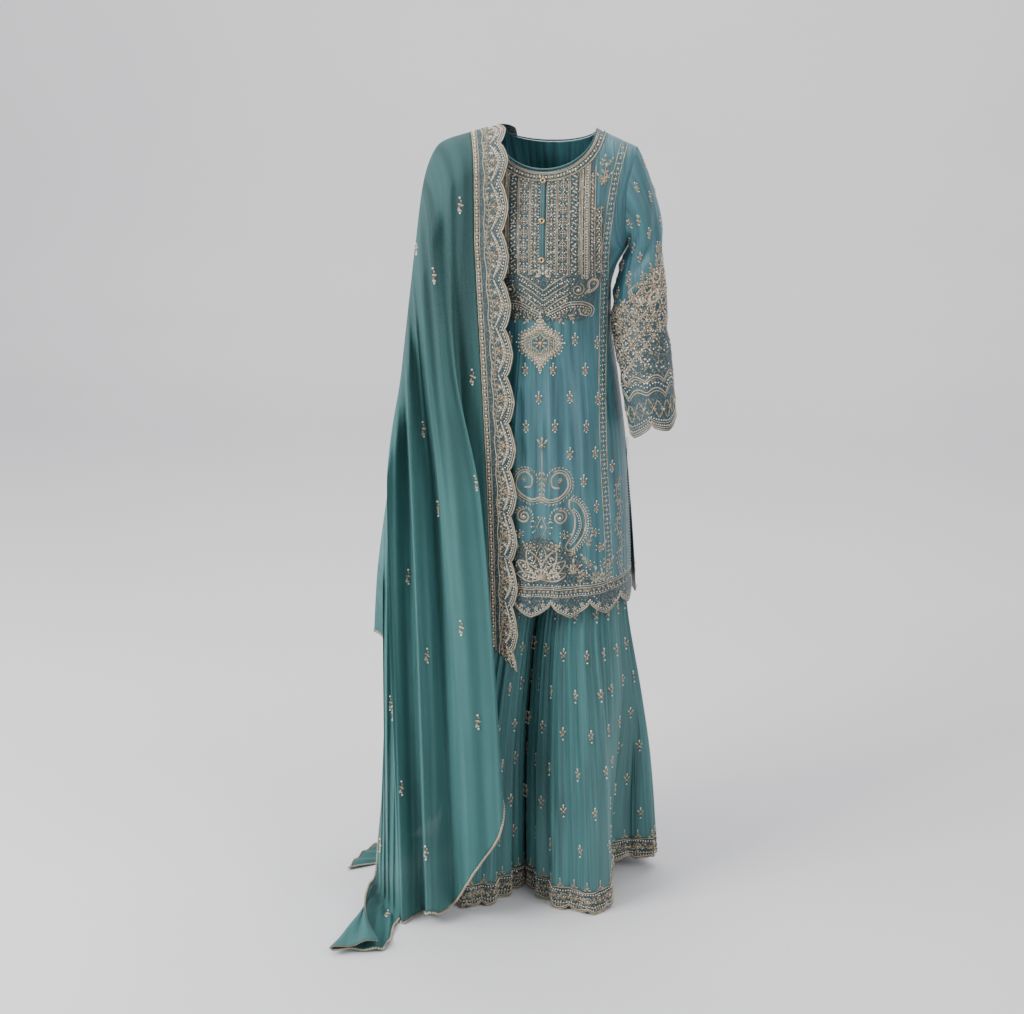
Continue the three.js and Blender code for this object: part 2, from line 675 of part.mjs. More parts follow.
// The heavy border, sewn to the cloth's inner side and scalloped along its free side.
function borderPoint(across, way) {
  const sewn = dupattaPoint(0, way);
  const side = dupattaPoint(-dupattaBorderShare, way);
  const walked = (Math.abs(way) * dupattaWalk) / dupattaScallop.length;
  const cut = dupattaScallop.depth * (1 - scallopShape(walked));
  const width = side.distanceTo(sewn);
  return dupattaPoint((-dupattaBorderShare * (across * (width - cut - 1.2) + 1.2)) / width, way);
}

function dupattaBorder() {
  const face = (u, v) => borderPoint(1 - u, 2 * v - 1);
  return clothWall(face, grid.dupattaBorder, dupattaWall, 1);
}

// The suit.

const cloth = (colour, roughness) => {
  return new THREE.MeshStandardMaterial({ color: colour, roughness, metalness: 0, side: THREE.DoubleSide });
};
const kurtaSilk = cloth(0x3f7378, 0.5);
const ghararaOrganza = cloth(0x417679, 0.6);
const dupattaChiffon = cloth(0x3f7071, 0.65);
const embroideredBorder = cloth(0x7a7868, 0.55);
const bindingCord = cloth(0x2c5a5c, 0.6);
const buttonBrass = new THREE.MeshStandardMaterial({ color: 0xc89a5c, roughness: 0.35, metalness: 0.9 });

const suit = new THREE.Group();

function add(name, geometry, material) {
  const mesh = new THREE.Mesh(geometry, material);
  mesh.name = name;
  suit.add(mesh);
  return mesh;
}

add("kurta_front", kurtaPanel(-1, grid.kurtaFront, kurtaScallop.tip), kurtaSilk);
add("kurta_back", kurtaPanel(1, grid.kurtaBack, grid.kurtaBack[0] / 2), kurtaSilk);
add("sleeve_left", sleeve(leftSleeve, 1), kurtaSilk);
add("sleeve_right", sleeve(rightSleeve, -1), kurtaSilk);
add("neck_binding", neckBinding(), bindingCord);
add("front_placket", frontPlacket(), bindingCord);

button.heights.forEach((z, index) => {
  const ring = add(`button_${index + 1}`, buttonRing(), buttonBrass);
  const slope = (placketY(0, z + 5) - placketY(0, z - 5)) / 10;
  ring.rotation.x = Math.PI / 2 - Math.atan(slope);
  ring.position.set(0, placketY(0, z) - button.bead - seamGap, z);
});

add("gharara_waistband", waistband(), ghararaOrganza);
add("gharara_upper_left", upperLeg(1), ghararaOrganza);
add("gharara_upper_right", upperLeg(-1), ghararaOrganza);
add("gharara_flare_left", flare(leftFlare, 1), ghararaOrganza);
add("gharara_flare_right", flare(rightFlare, -1), ghararaOrganza);
add("gharara_hem_left", hemBand(leftFlare, 1), embroideredBorder);
add("gharara_hem_right", hemBand(rightFlare, -1), embroideredBorder);
add("dupatta_cloth", dupattaCloth(), dupattaChiffon);
add("dupatta_border", dupattaBorder(), embroideredBorder);

export default suit;
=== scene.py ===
import math
import bpy
import bmesh
import mathutils
import numpy as np
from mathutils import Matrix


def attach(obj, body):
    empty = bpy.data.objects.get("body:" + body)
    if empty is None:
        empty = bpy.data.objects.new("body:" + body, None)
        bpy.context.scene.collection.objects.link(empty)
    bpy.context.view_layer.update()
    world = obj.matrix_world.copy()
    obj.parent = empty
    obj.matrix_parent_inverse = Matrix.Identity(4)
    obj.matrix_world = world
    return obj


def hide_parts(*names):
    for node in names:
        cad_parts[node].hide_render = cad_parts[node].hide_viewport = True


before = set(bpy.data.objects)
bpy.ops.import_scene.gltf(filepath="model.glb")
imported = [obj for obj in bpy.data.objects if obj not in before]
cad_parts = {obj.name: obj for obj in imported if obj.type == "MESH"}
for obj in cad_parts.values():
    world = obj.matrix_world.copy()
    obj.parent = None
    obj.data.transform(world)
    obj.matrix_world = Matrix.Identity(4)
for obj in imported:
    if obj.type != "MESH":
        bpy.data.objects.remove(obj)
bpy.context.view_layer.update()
millimetre = 0.001

# Camera, at the height of a standing photographer and a little to the wearer's left.
cameraPlace = {"turn": 6.0, "away": 3.2, "height": 0.170, "down": 15.2, "lens": 61.84, "aside": -0.0361}


def makeCamera():
    turn = math.radians(cameraPlace["turn"])
    data = bpy.data.cameras.new("camera")
    data.lens = cameraPlace["lens"]
    data.sensor_width = 36.0
    data.sensor_fit = "HORIZONTAL"
    data.shift_x = cameraPlace["aside"]
    data.clip_end = 30.0
    camera = bpy.data.objects.new("camera", data)
    away = cameraPlace["away"]
    camera.location = (math.sin(turn) * away, -math.cos(turn) * away, cameraPlace["height"])
    camera.rotation_euler = (math.radians(90.0 - cameraPlace["down"]), 0.0, turn)
    bpy.context.scene.collection.objects.link(camera)
    bpy.context.scene.camera = camera


makeCamera()
print("camera ready")


# Reading section tables. The first column of each is its key.

def slopesOf(keys, values):
    # the slopes at the keys of a smooth line that never overshoots them
    rise = np.diff(values, axis=0) / np.diff(keys).reshape(-1, *[1] * (values.ndim - 1))
    both = rise[:-1] * rise[1:]
    middle = np.where(both <= 0, 0.0, 2.0 * both / np.where(both <= 0, 1.0, rise[:-1] + rise[1:]))
    return np.concatenate([rise[:1], middle, rise[-1:]])


def between(t, span, values, slopes, i):
    # the smooth line from key i to the next, where t goes from 0 to 1
    start = (1 + 2 * t) * (1 - t) ** 2 * values[i] + t * (1 - t) ** 2 * span * slopes[i]
    return start + t * t * (3 - 2 * t) * values[i + 1] + t * t * (t - 1) * span * slopes[i + 1]


def readTable(table, column, at):
    rows = np.array(sorted(table["rows"]), float)
    keys = rows[:, 0]
    values = rows[:, table["columns"].index(column)]
    at = np.clip(at, keys[0], keys[-1])
    i = np.clip(np.searchsorted(keys, at, side="right") - 1, 0, len(keys) - 2)
    span = keys[i + 1] - keys[i]
    return between((at - keys[i]) / span, span, values, slopesOf(keys, values), i)


def pair(first, second):
    return np.stack(np.broadcast_arrays(first, second), -1)


def walkOf(points):
    # the length walked along a line at each of its points
    return np.concatenate([[0], np.cumsum(np.linalg.norm(np.diff(points, axis=0), axis=1))])


def mix(a, b, share):
    return a + (b - a) * share


def ease(share):
    s = np.clip(share, 0.0, 1.0)
    return s * s * (3.0 - 2.0 * s)


def scallop(place):
    # 0 at a notch and 1 at a tip, where place counts the scallops
    share = np.abs((place % 1.0) * 2.0 - 1.0)
    return mix(1.0 - share, np.sqrt(np.maximum(0.0, 1.0 - share * share)), 0.55)


def softNoise(x, y, seed):
    # a few slow waves at odd angles, for the unevenness of cloth laid by hand
    total = 0.0
    for k in range(5):
        angle = 1.7 * k + seed
        size = 0.012 + 0.009 * k
        walked = x * math.cos(angle) + y * math.sin(angle)
        total = total + np.sin(walked * size + 2.3 * k * seed) / (k + 1.5)
    return total


def creases(table, a, b):
    # soft troughs and ridges from one point to another: a0, b0, a1, b1, width, height
    total = 0.0
    for a0, b0, a1, b1, width, height in table:
        along = np.array([a1 - a0, b1 - b0])
        length = float(np.hypot(*along))
        along = along / length
        walked = (a - a0) * along[0] + (b - b0) * along[1]
        off = (a - a0) * along[1] - (b - b0) * along[0]
        off = off + 0.04 * length * np.sin(walked / length * 3.1)
        ends = ease(walked / (0.3 * length)) * ease((length - walked) / (0.3 * length))
        total = total + 1.9 * height * ends * np.exp(-((off / width) ** 2))
    return total


# The kurta's form, in millimetres.

kurtaForm = {
    "columns": ("z", "reach", "front", "back", "edge"),
    "rows": [
        (-880, 159, 140, 128, 159),
        (-700, 151, 128, 122, 151),
        (-560, 142, 119, 116, 142),
        (-450, 128, 113, 101, 128),
        (-340, 113, 109, 88, 113),
        (-285, 113, 114, 88, 113),
        (-245, 122, 119, 90, 122),
        (-205, 143, 120, 92, 143),
        (-150, 160, 113, 90, 141),
        (-100, 168, 101, 84, 143),
        (-40, 174, 86, 74, 156),
        (20, 174, 74, 64, 157),
    ],
}
kurta = {
    "neckHalf": 86, "neckDropFront": 68, "neckDropBack": 28, "neckShare": 0.5,
    "shoulderTip": 157, "shoulderSlope": 0.44, "shoulderRound": 75, "armpit": -205,
    "hem": -846, "slitTop": -520, "fullness": 2.3, "scallopDepth": 28, "scallopColumns": 6,
    "frontTips": (18, 39), "backTips": (14, 28), "wall": 0.9, "seamGap": 0.5,
}
kurtaFrontCreases = [
    (60, -250, 92, -420, 9, -2.6), (88, -300, 104, -560, 8, 2.4), (-30, -330, -12, -560, 11, 2.2),
    (22, -330, 30, -640, 10, -2.6), (52, -380, 66, -700, 9, 2.4), (-52, -420, -46, -760, 12, -2.4),
    (84, -520, 96, -800, 9, -2.6), (6, -600, 4, -820, 10, 2.0), (104, -190, 128, -120, 8, -2.4),
    (112, -232, 140, -170, 7, -2.6), (96, -262, 122, -240, 6, -2.2), (-104, -200, -130, -130, 8, -2.4),
    (-96, -300, -108, -600, 10, 2.4), (40, -640, 46, -830, 8, -1.6), (122, -420, 132, -700, 8, -2.2),
]
kurtaBackCreases = [
    (-60, -180, -30, -420, 14, -3.0), (50, -200, 70, -460, 12, -2.8), (0, -260, 6, -640, 12, 2.6),
    (-80, -430, -92, -760, 11, 2.6), (86, -440, 98, -780, 11, -2.8), (-30, -520, -34, -820, 12, -2.4),
    (36, -560, 44, -830, 11, 2.4), (-120, -420, -128, -700, 9, -2.2), (110, -180, 132, -120, 8, -2.4),
    (-110, -180, -132, -120, 8, -2.4),
]


def shoulderHeight(x):
    return -kurta["shoulderSlope"] * (np.abs(x) - kurta["neckHalf"])


def kurtaDepth(x, z, facing, detail=1.0):
    reach = readTable(kurtaForm, "reach", z)
    depth = readTable(kurtaForm, "front" if facing < 0 else "back", z)
    share = np.clip(np.abs(x) / reach, 0.0, 1.0)
    below = np.clip((shoulderHeight(x) - z) / kurta["shoulderRound"], 0.0, 1.0)
    over = np.sqrt(1.0 - (1.0 - below) ** 2)
    folds = 2.6 * np.cos(x / reach * 15.0 + z * 0.004) * ease((-z - 330.0) / 160.0)
    table = kurtaFrontCreases if facing < 0 else kurtaBackCreases
    folds = folds + detail * creases(table, x, z) * ease((shoulderHeight(x) - z) / 60.0)
    folds = folds + detail * 0.9 * softNoise(x * 2.0, z, 3.1 + facing)
    fine = np.cos(x / reach * 37.0 + 2.0 * np.sin(z * 0.011))
    folds = folds + detail * 1.2 * fine * ease((-z - 330.0) / 200.0)
    fading = ease((reach - np.abs(x)) / 40.0)
    fuller = np.exp(-(((z + 345.0) / 95.0) ** 2)) if facing > 0 else 0.0
    full = kurta["fullness"] + 0.9 * detail * fuller
    form = (depth + folds * fading) * (1.0 - share ** full) ** (1.0 / full) * over
    return facing * (form + kurta["seamGap"] / 2)


def kurtaTop(u, facing):
    side = np.sign(u)
    share = np.abs(u)
    turn = np.clip(share / kurta["neckShare"], 0, 1) * math.pi / 2
    drop = kurta["neckDropFront"] if facing < 0 else kurta["neckDropBack"]
    part = np.clip((share - kurta["neckShare"]) / (1 - kurta["neckShare"]), 0, 1)
    inside = share <= kurta["neckShare"]
    across = mix(kurta["neckHalf"], kurta["shoulderTip"], part)
    x = np.where(inside, kurta["neckHalf"] * np.sin(turn), across)
    z = np.where(inside, -drop * np.cos(turn), shoulderHeight(across))
    return side * x, z


def sideSlit(z, facing):
    # how far down the slit a height is, and how much wider the panel is there
    slit = ease((kurta["slitTop"] - z) / (kurta["slitTop"] - kurta["hem"]))
    return slit, 1.0 if facing < 0 else 1.0 + 0.045 * slit


def kurtaPoint(u, v, facing, tip=0.0, detail=1.0):
    topX, topZ = kurtaTop(u, facing)
    lift = 10.0 * np.abs(u) ** 3 * (1.0 if facing < 0 else 0.4)
    z = mix(kurta["hem"] + lift - kurta["scallopDepth"] * tip, topZ, v)
    reach = readTable(kurtaForm, "reach", z)
    edge = readTable(kurtaForm, "edge", z)
    full = kurta["fullness"]
    atEdge = np.arcsin(np.clip(edge / reach, 0, 1) ** (full / 2))
    atEdge = np.where(z <= kurta["armpit"], math.pi / 2, atEdge)
    slit, wider = sideSlit(z, facing)
    turn = u * atEdge
    body = wider * reach * np.sign(turn) * np.abs(np.sin(turn)) ** (2 / full)
    x = mix(body, topX, ease((z - topZ + 110.0) / 110.0))
    y = kurtaDepth(x / wider, z, facing, detail) + facing * 3.0 * slit * np.abs(u) ** 6
    return np.stack([x, y, z], -1)


def evenAcross(facing):
    # the panel's places across, by even lengths along its hem
    u = np.linspace(-1, 1, 241)
    points = kurtaPoint(u, np.zeros_like(u), facing, detail=0.0)
    walk = walkOf(points)
    return u, walk / walk[-1], walk[-1]


# The sleeves' rings, from the armhole down.

sleeveColumns = ("along", "x", "y", "z", "across", "deep", "tilt")
sleeveForm = {
    "left": {"columns": sleeveColumns, "rows": [
        (0, 157, 0, -120, 84, 60, 80),
        (0.18, 172, 2, -164, 47, 60, 56),
        (0.36, 167, 0, -228, 43, 59, 28),
        (0.56, 166, -8, -304, 49, 57, 12),
        (0.8, 178, -26, -410, 48, 55, 8),
        (1, 196, -52, -514, 44, 54, 14),
    ]},
    "right": {"columns": sleeveColumns, "rows": [
        (0, 157, 0, -120, 84, 60, 80),
        (0.18, 172, 2, -164, 47, 58, 56),
        (0.36, 166, 2, -228, 42, 56, 28),
        (0.56, 164, 0, -304, 47, 54, 12),
        (0.8, 174, -6, -410, 45, 53, 8),
        (1, 186, -14, -514, 43, 52, 12),
    ]},
}
sleeve = {"length": 470, "scallopDepth": 20, "scallops": 4, "wall": 0.9, "columns": 96, "rows": 120}
sleeveCreases = [
    (60, 0.12, 150, 0.3, 16, -3.0), (20, 0.2, 110, 0.42, 14, -2.6), (200, 0.14, 300, 0.34, 18, -2.8),
    (240, 0.4, 330, 0.5, 16, -2.4), (40, 0.46, 130, 0.58, 15, -2.8), (150, 0.5, 240, 0.62, 16, -2.4),
    (70, 0.62, 170, 0.7, 14, -2.2), (300, 0.6, 380, 0.72, 16, -2.2), (180, 0.3, 260, 0.42, 15, 2.2),
    (80, 0.34, 20, 0.5, 15, 2.4), (110, 0.76, 200, 0.84, 14, -1.8), (330, 0.2, 400, 0.36, 16, 2.2),
]


def sleevePoint(side, turn, along, detail=1.0):
    table = sleeveForm[side]
    tilt = np.radians(readTable(table, "tilt", along))
    out = np.cos(turn) * readTable(table, "across", along)
    soft = ease(along / 0.4)
    loose = 1.0 + 0.03 * np.cos(4 * turn + 9 * along) * soft
    degrees = np.degrees(turn) % 360.0
    down = sleeve["length"]
    lines = [(a0, b0 * down, a1, b1 * down, width, high) for a0, b0, a1, b1, width, high in sleeveCreases]
    wrinkle = sum(creases(lines, degrees + shift, along * down) for shift in (0.0, 360.0))
    fading = soft * ease((1.02 - along) / 0.2)
    loose = loose + detail * (wrinkle * fading) / 40.0
    inner = detail * 4.0 * np.maximum(0.0, -np.cos(turn)) ** 2 * np.exp(-(((along - 0.52) / 0.2) ** 2))
    x = readTable(table, "x", along) + out * np.cos(tilt) * loose - inner
    y = readTable(table, "y", along) - np.sin(turn) * readTable(table, "deep", along) * loose
    scallops = scallop(turn / (2 * math.pi) * sleeve["scallops"])
    cuff = ease((along - 0.8) / 0.2) * sleeve["scallopDepth"] * scallops
    z = readTable(table, "z", along) + out * np.sin(tilt) - cuff
    high = shoulderHeight(kurta["shoulderTip"])
    sewnZ = mix(kurta["armpit"], high, (1 + np.cos(turn)) / 2)
    edge = readTable(kurtaForm, "edge", sewnZ)
    front, back = (kurtaDepth(edge, sewnZ, facing, detail) for facing in (-1, 1))
    sewnY = np.where(np.sin(turn) >= 0, front, back)
    join = ease(along / 0.3)
    x = mix(edge + kurta["seamGap"] + 0.3, x, join)
    return np.stack([x * (1 if side == "left" else -1), mix(sewnY, y, join), mix(sewnZ, z, join)], -1)


# The gharara: hips, then gathered flares.

hipForm = {
    "columns": ("z", "reach", "front", "back", "split"),
    "rows": [
        (-822, 144, 106, 98, 1),
        (-690, 138, 104, 98, 1),
        (-640, 135, 103, 99, 0.75),
        (-560, 130, 102, 98, 0),
        (-470, 122, 98, 90, 0),
        (-345, 110, 92, 76, 0),
    ],
}
flareColumns = ("z", "inner", "outer", "front", "back")
flareForm = {
    "left": {"columns": flareColumns, "rows": [
        (-1480, -46, 222, -130, 210),
        (-1230, -44, 202, -126, 170),
        (-1084, -36, 182, -121, 140),
        (-900, -18, 152, -113, 104),
        (-820, 0.4, 144, -106, 98),
    ]},
    "right": {"columns": flareColumns, "rows": [
        (-1480, -47.2, -250, -130, 210),
        (-1230, -45.2, -214, -126, 170),
        (-1084, -37.2, -186, -121, 140),
        (-900, -19.2, -152, -113, 104),
        (-820, -0.8, -144, -106, 98),
    ]},
}
flarePlan = {
    "columns": ("turn", "share", "swing"),
    "rows": [
        (-180, 1, 0), (-90, 1, 0), (-76, 0.97, 0), (-66, 0.83, 0), (-56, 0.66, -2), (-46, 0.43, 4),
        (-36, 0.31, 26), (-28, 0.35, 44), (-20, 0.5, 42), (-10, 0.74, 29), (0, 0.94, 14), (10, 1.03, 9),
        (22, 1.01, 4), (40, 0.98, 0), (58, 0.86, 0), (76, 0.98, 0), (180, 1, 0)],
}
gharara = {
    "waistTop": -345, "waistLow": -385, "seam": -820, "floor": -1478, "bandTop": -1428, "gathers": 16,
    "finePleats": 47, "scallops": 20, "scallopDepth": 10, "sideLift": 24, "wall": 0.7, "columns": 288,
    "rows": 88,
}


def hipPoint(side, u, z):
    reach = readTable(hipForm, "reach", z)
    split = readTable(hipForm, "split", z)
    gap = kurta["seamGap"]
    centre = (reach / 2 + gap / 2) * split
    half = reach - centre
    ending = np.arccos(np.clip(-(centre - gap) / half, -1, 0))
    turn = mix(-ending, ending, u)
    depth = np.where(np.sin(turn) < 0, readTable(hipForm, "front", z), readTable(hipForm, "back", z))
    x = np.maximum(gap, centre + half * np.cos(turn))
    parting = np.where(split > 0.99, gap / 2 * np.sign(np.sin(turn)), 0.0)
    return np.stack([side * x, depth * np.sin(turn) + parting, z], -1)


def hemLift(turn):
    return gharara["sideLift"] * ease((np.cos(turn - 0.35) + 0.15) / 1.1)


def flarePoint(side, turn, z, detail=1.0):
    table = flareForm[side]
    sign = 1 if side == "left" else -1
    inner, outer = readTable(table, "inner", z), readTable(table, "outer", z)
    front, back = readTable(table, "front", z), readTable(table, "back", z)
    down = np.clip((gharara["seam"] - z) / (gharara["seam"] - gharara["floor"]), 0, 1)
    uneven = turn + 0.09 * np.sin(2 * turn) + 0.05 * np.sin(5 * turn)
    height = mix(1.6, 8.0, down ** 0.8) * (0.75 + 0.25 * np.cos(3 * turn + 0.8))
    gather = height * (np.cos(gharara["gathers"] * uneven) - 1)
    drift = 0.5 * np.sin(5.0 * down + 3 * turn)
    fine = np.cos(gharara["finePleats"] * uneven + 2.2 * np.sin(3 * turn) + drift)
    small = 3.2 * (1 - 0.5 * ease(down / 0.75)) * (0.7 + 0.3 * np.sin(7 * turn + 2))
    gather = gather + detail * small * (fine - 1) * ease(down / 0.04 + 0.3)
    gather = gather + detail * 1.2 * softNoise(turn * 160, z * 0.6, 5.0) * down
    folded = ease(down * 1.1)
    plan = mix(1.0, readTable(flarePlan, "share", np.degrees(turn)), folded)
    swung = turn + np.radians(readTable(flarePlan, "swing", np.degrees(turn))) * folded
    within = np.exp(-(((180.0 - np.abs(np.degrees(turn))) / 26.0) ** 2)) * ease(down * 6.0)
    gather = gather * (1.0 - 0.96 * within)
    across = np.maximum(np.cos(swung) * (1.0 + 0.075 * within), -1.0)
    x = (inner + outer) / 2 + sign * (np.abs(outer - inner) / 2 * plan + gather) * across
    y = (front + back) / 2 + ((back - front) / 2 * plan + gather) * np.sin(swung)
    return np.stack([x, y, z + 0 * x], -1)


# The dupatta. Share runs across it from its border, and way from the front end at -1 to the back end at 1.

restLine = {
    "columns": ("share", "x", "z"),
    "rows": [(-0.08, -80, 8.3), (0, -144, -8), (0.07, -198, -28), (0.14, -227, -88), (0.26, -246, -208),
             (0.44, -270, -388), (0.68, -303, -638), (0.88, -334, -846), (1, -343, -962)],
}
planColumns = ("share", "x", "y")
frontLevels = [
    (-200, {"columns": planColumns, "rows": [
        (-0.08, -56, -127), (0, -121, -107), (0.07, -158, -112), (0.12, -178, -94), (0.18, -206, -98),
        (0.3, -244, -62), (1, -290, -60)]}),
    (-420, {"columns": planColumns, "rows": [
        (-0.08, -48, -131), (0, -110, -119), (0.056, -147, -112), (0.111, -151, -135), (0.21, -197, -133),
        (0.29, -222, -96), (0.38, -244, -112), (0.46, -255, -84), (0.56, -274, -100), (0.64, -277, -74),
        (0.76, -288, -72), (1, -277, -48)]}),
    (-650, {"columns": planColumns, "rows": [
        (-0.08, -43, -136), (0, -100, -130), (0.056, -140, -124), (0.111, -106, -156), (0.21, -170, -166),
        (0.29, -198, -126), (0.38, -230, -164), (0.46, -246, -114), (0.56, -280, -146), (0.64, -276, -94),
        (0.76, -300, -84), (0.86, -292, -62), (0.93, -280, -48), (1, -264, -36)]}),
    (-1420, {"columns": planColumns, "rows": [
        (-0.08, -38, -176), (0, -83, -158), (0.056, -118, -158), (0.111, -54, -194), (0.21, -122, -208),
        (0.29, -166, -166), (0.38, -204, -208), (0.46, -230, -158), (0.56, -262, -196), (0.66, -284, -150),
        (0.76, -306, -120), (0.86, -324, -86), (0.93, -334, -64), (1, -338, -40)]}),
]
backLevels = [
    (-200, {"columns": planColumns, "rows": [
        (-0.08, -56, 104), (0, -121, 98), (0.08, -160, 108), (0.14, -184, 92), (0.3, -244, 74),
        (1, -290, 62)]}),
    (-650, {"columns": planColumns, "rows": [
        (-0.08, -46, 136), (0, -112, 134), (0.12, -160, 150), (0.22, -186, 118), (0.34, -222, 150),
        (0.46, -248, 112), (0.6, -286, 128), (0.76, -294, 86), (1, -298, 52)]}),
    (-1420, {"columns": planColumns, "rows": [
        (-0.08, -36, 206), (0, -100, 214), (0.12, -150, 234), (0.22, -186, 208), (0.34, -232, 226),
        (0.46, -268, 176), (0.6, -304, 178), (0.76, -322, 122), (1, -336, 52)]}),
]
endColumns = ("share", "z", "run", "heading", "bend", "soft", "lift")
frontEnd = {"columns": endColumns, "rows": [
    (-0.08, -981, 0, 200, 0, 26, 0), (0, -938, 0, 200, 0, 26, 0), (0.05, -1010, 0, 200, 0, 26, 0),
    (0.11, -1235, 0, 200, 0, 26, 0), (0.21, -1370, 0, 205, 0, 26, 0), (0.32, -1458, 0, 215, 0, 26, 0),
    (0.38, -1447, 0, 240, 0, 26, 0), (0.46, -1475, 0, 262, 0, 22, 0), (0.5, -1476, 0, 266, 0, 22, 0),
    (0.58, -1476, 0, 274, 0, 22, 0), (0.61, -1477, 24, 274, 0, 22, 0), (0.66, -1477, 135, 275, 0, 22, 0),
    (0.7, -1477, 168, 275, 0, 22, 0), (0.78, -1477, 200, 267, 0, 22, 3), (0.86, -1477, 248, 259, 0, 34, 9),
    (0.93, -1477, 258, 265, 7, 60, 18), (1, -1477, 272, 258, 24, 80, 22)]}
backEnd = {"columns": endColumns, "rows": [
    (-0.08, -1230, 0, 120, 0, 26, 0), (0, -1190, 0, 120, 0, 26, 0), (0.2, -1290, 0, 120, 0, 26, 0),
    (0.45, -1440, 0, 130, 0, 26, 0), (0.6, -1476, 12, 160, 0, 26, 0), (0.8, -1477, 64, 188, 0, 26, 0),
    (1, -1477, 88, 210, 0, 26, 0)]}
dupatta = {
    "floor": -1478, "wall": 0.5, "arcLength": 150, "borderShare": 0.08, "walk": 1040, "lobe": 84,
    "lobeDepth": 15, "columns": 170, "rows": 190,
}


def dupattaRipple(share, z):
    # fine falls between the main folds, which drift and fade on the way down
    broad = 3.4 * np.sin(share * 95 + 0.004 * z) + 2.6 * np.sin(share * 41 - 0.007 * z + 1.0)
    fine = 1.3 * np.sin(share * 210 + 0.006 * z + 1.5 * np.sin(0.004 * z)) * ease((-z - 150) / 300)
    return broad + fine


def hangingPlace(levels, share, z):
    # each level's plan at this share, then between the levels by height, on the same smooth line
    keys = np.array([level[0] for level in levels], float)[::-1]
    place = []
    for column in ("x", "y"):
        values = np.array([readTable(plan, column, share) for _, plan in levels])[::-1]
        slopes = slopesOf(keys, values)
        at = np.clip(z, keys[0], keys[-1])
        result = 0.0
        for i in range(len(keys) - 1):
            span = keys[i + 1] - keys[i]
            t = (at - keys[i]) / span
            inside = (t >= 0) & (t < 1) if i < len(keys) - 2 else (t >= 0) & (t <= 1)
            result = result + np.where(inside, between(t, span, values, slopes, i), 0.0)
        place.append(result)
    return place


def dupattaHalf(share, reach, levels, end, detail):
    restX, restZ = readTable(restLine, "x", share), readTable(restLine, "z", share)
    arcHeight = mix(70.0, 110.0, ease(share / 0.3))
    fall = restZ - readTable(end, "z", share)
    run = readTable(end, "run", share)
    gone = reach * (dupatta["arcLength"] + fall - arcHeight + run)
    turn = np.minimum(1.0, gone / dupatta["arcLength"]) * math.pi / 2
    straight = np.maximum(0.0, gone - dupatta["arcLength"])
    soft = readTable(end, "soft", share)
    past = straight - (fall - arcHeight) + soft
    bend = np.where(past < 2 * soft, past * past / (4 * soft), past - soft)
    lost = np.where((past <= 0) | (run == 0), 0.0, bend)
    z = restZ - arcHeight * (1 - np.cos(turn)) - (straight - lost)
    hangX, hangY = hangingPlace(levels, share, z)
    forward = np.sin(turn)
    swerve = readTable(end, "bend", share) * lost / np.maximum(1.0, run)
    course = np.radians(readTable(end, "heading", share) + swerve)
    onFloor = ease(lost / 60.0)
    lift = readTable(end, "lift", share) * onFloor + 1.2 * (1 - np.cos(lost * 0.06)) * onFloor
    lift = lift + detail * onFloor * 2.6 * (1 + np.sin(share * 74 + 0.022 * lost))
    away = np.where(hangY < 0, -1.0, 1.0)
    flow = detail * forward * (1 - onFloor) * ease((share + 0.02) / 0.12)
    ripple = flow * dupattaRipple(share, z)
    x = mix(restX, hangX, forward) + lost * np.cos(course)
    y = mix(4.0, hangY, forward) + lost * np.sin(course) + away * ripple
    z = np.maximum(dupatta["floor"] + 1.0, z) + lift
    return np.stack([x, y, z], -1)


def dupattaPoint(share, way, detail=1.0):
    front = dupattaHalf(share, np.abs(way), frontLevels, frontEnd, detail)
    back = dupattaHalf(share, np.abs(way), backLevels, backEnd, detail)
    return np.where((way < 0)[..., None], front, back)


def borderPoint(across, way, detail=0.0):
    # across is 0 at the seam with the cloth and 1 at the scalloped side
    sewn = dupattaPoint(0 * way, way, detail)
    side = dupattaPoint(0 * way - dupatta["borderShare"], way, detail)
    walked = np.abs(way) * dupatta["walk"] / dupatta["lobe"]
    cut = dupatta["lobeDepth"] * (1 - scallop(walked))
    width = np.linalg.norm(side - sewn, axis=-1)
    return dupattaPoint(-dupatta["borderShare"] * (across * (width - cut - 1.2) + 1.2) / width, way, detail)


# Where the cloth is worked all over, on a darker ground: partly the ground's own dark thread, partly painted
# shade between the raised work.

plastron = {
    "centre": 2.0, "low": -246.0, "top": 19.0, "columns": (5.5, 22.5, 25.0, 43.0, 45.5, 62.5, 65.0, 79.5),
    "foot": {"columns": ("x", "z"), "rows": [(0, -333), (40, -328), (66, -330), (82, -318), (92, -262)]},
}


def neckEdge(x, off):
    # the height of a line that follows the neckline at a distance
    share = np.clip(np.abs(x) / (kurta["neckHalf"] + off), 0, 1)
    return -(kurta["neckDropFront"] + off) * np.sqrt(1 - share * share)


hemMotif = {"columns": ("z", "half"), "rows": [
    (-852, 150), (-820, 150), (-816, 96), (-785, 88), (-760, 66), (-740, 46), (-722, 12)]}


def nearHemMotif(x, z):
    half = readTable(hemMotif, "half", z)
    return (z < -722) & (np.abs(x) < half)


def onPlastron(x, z):
    across = np.abs(x - plastron["centre"])
    low = np.where(across < 82, -250 - 64 * (1 - np.clip(across / 82, 0, 1)), -262)
    return (across < 103) & (z < neckEdge(x, 6.0)) & (z > low) & ((across < 88) | (z < -128)) & (across > 4.2)


def kurtaDense(x, z):
    away = np.abs(x - plastron["centre"])
    low = readTable(plastron["foot"], "z", away)
    yoke = onPlastron(x, z) | ((away < 90) & (z < -244) & (z > low))
    near = (z > neckEdge(x, 19.0)) & (np.abs(x) < 110) & (z > -100)
    band = z < kurta["hem"] + 36.0
    return 1.0 * (yoke | near | band | nearHemMotif(x, z))


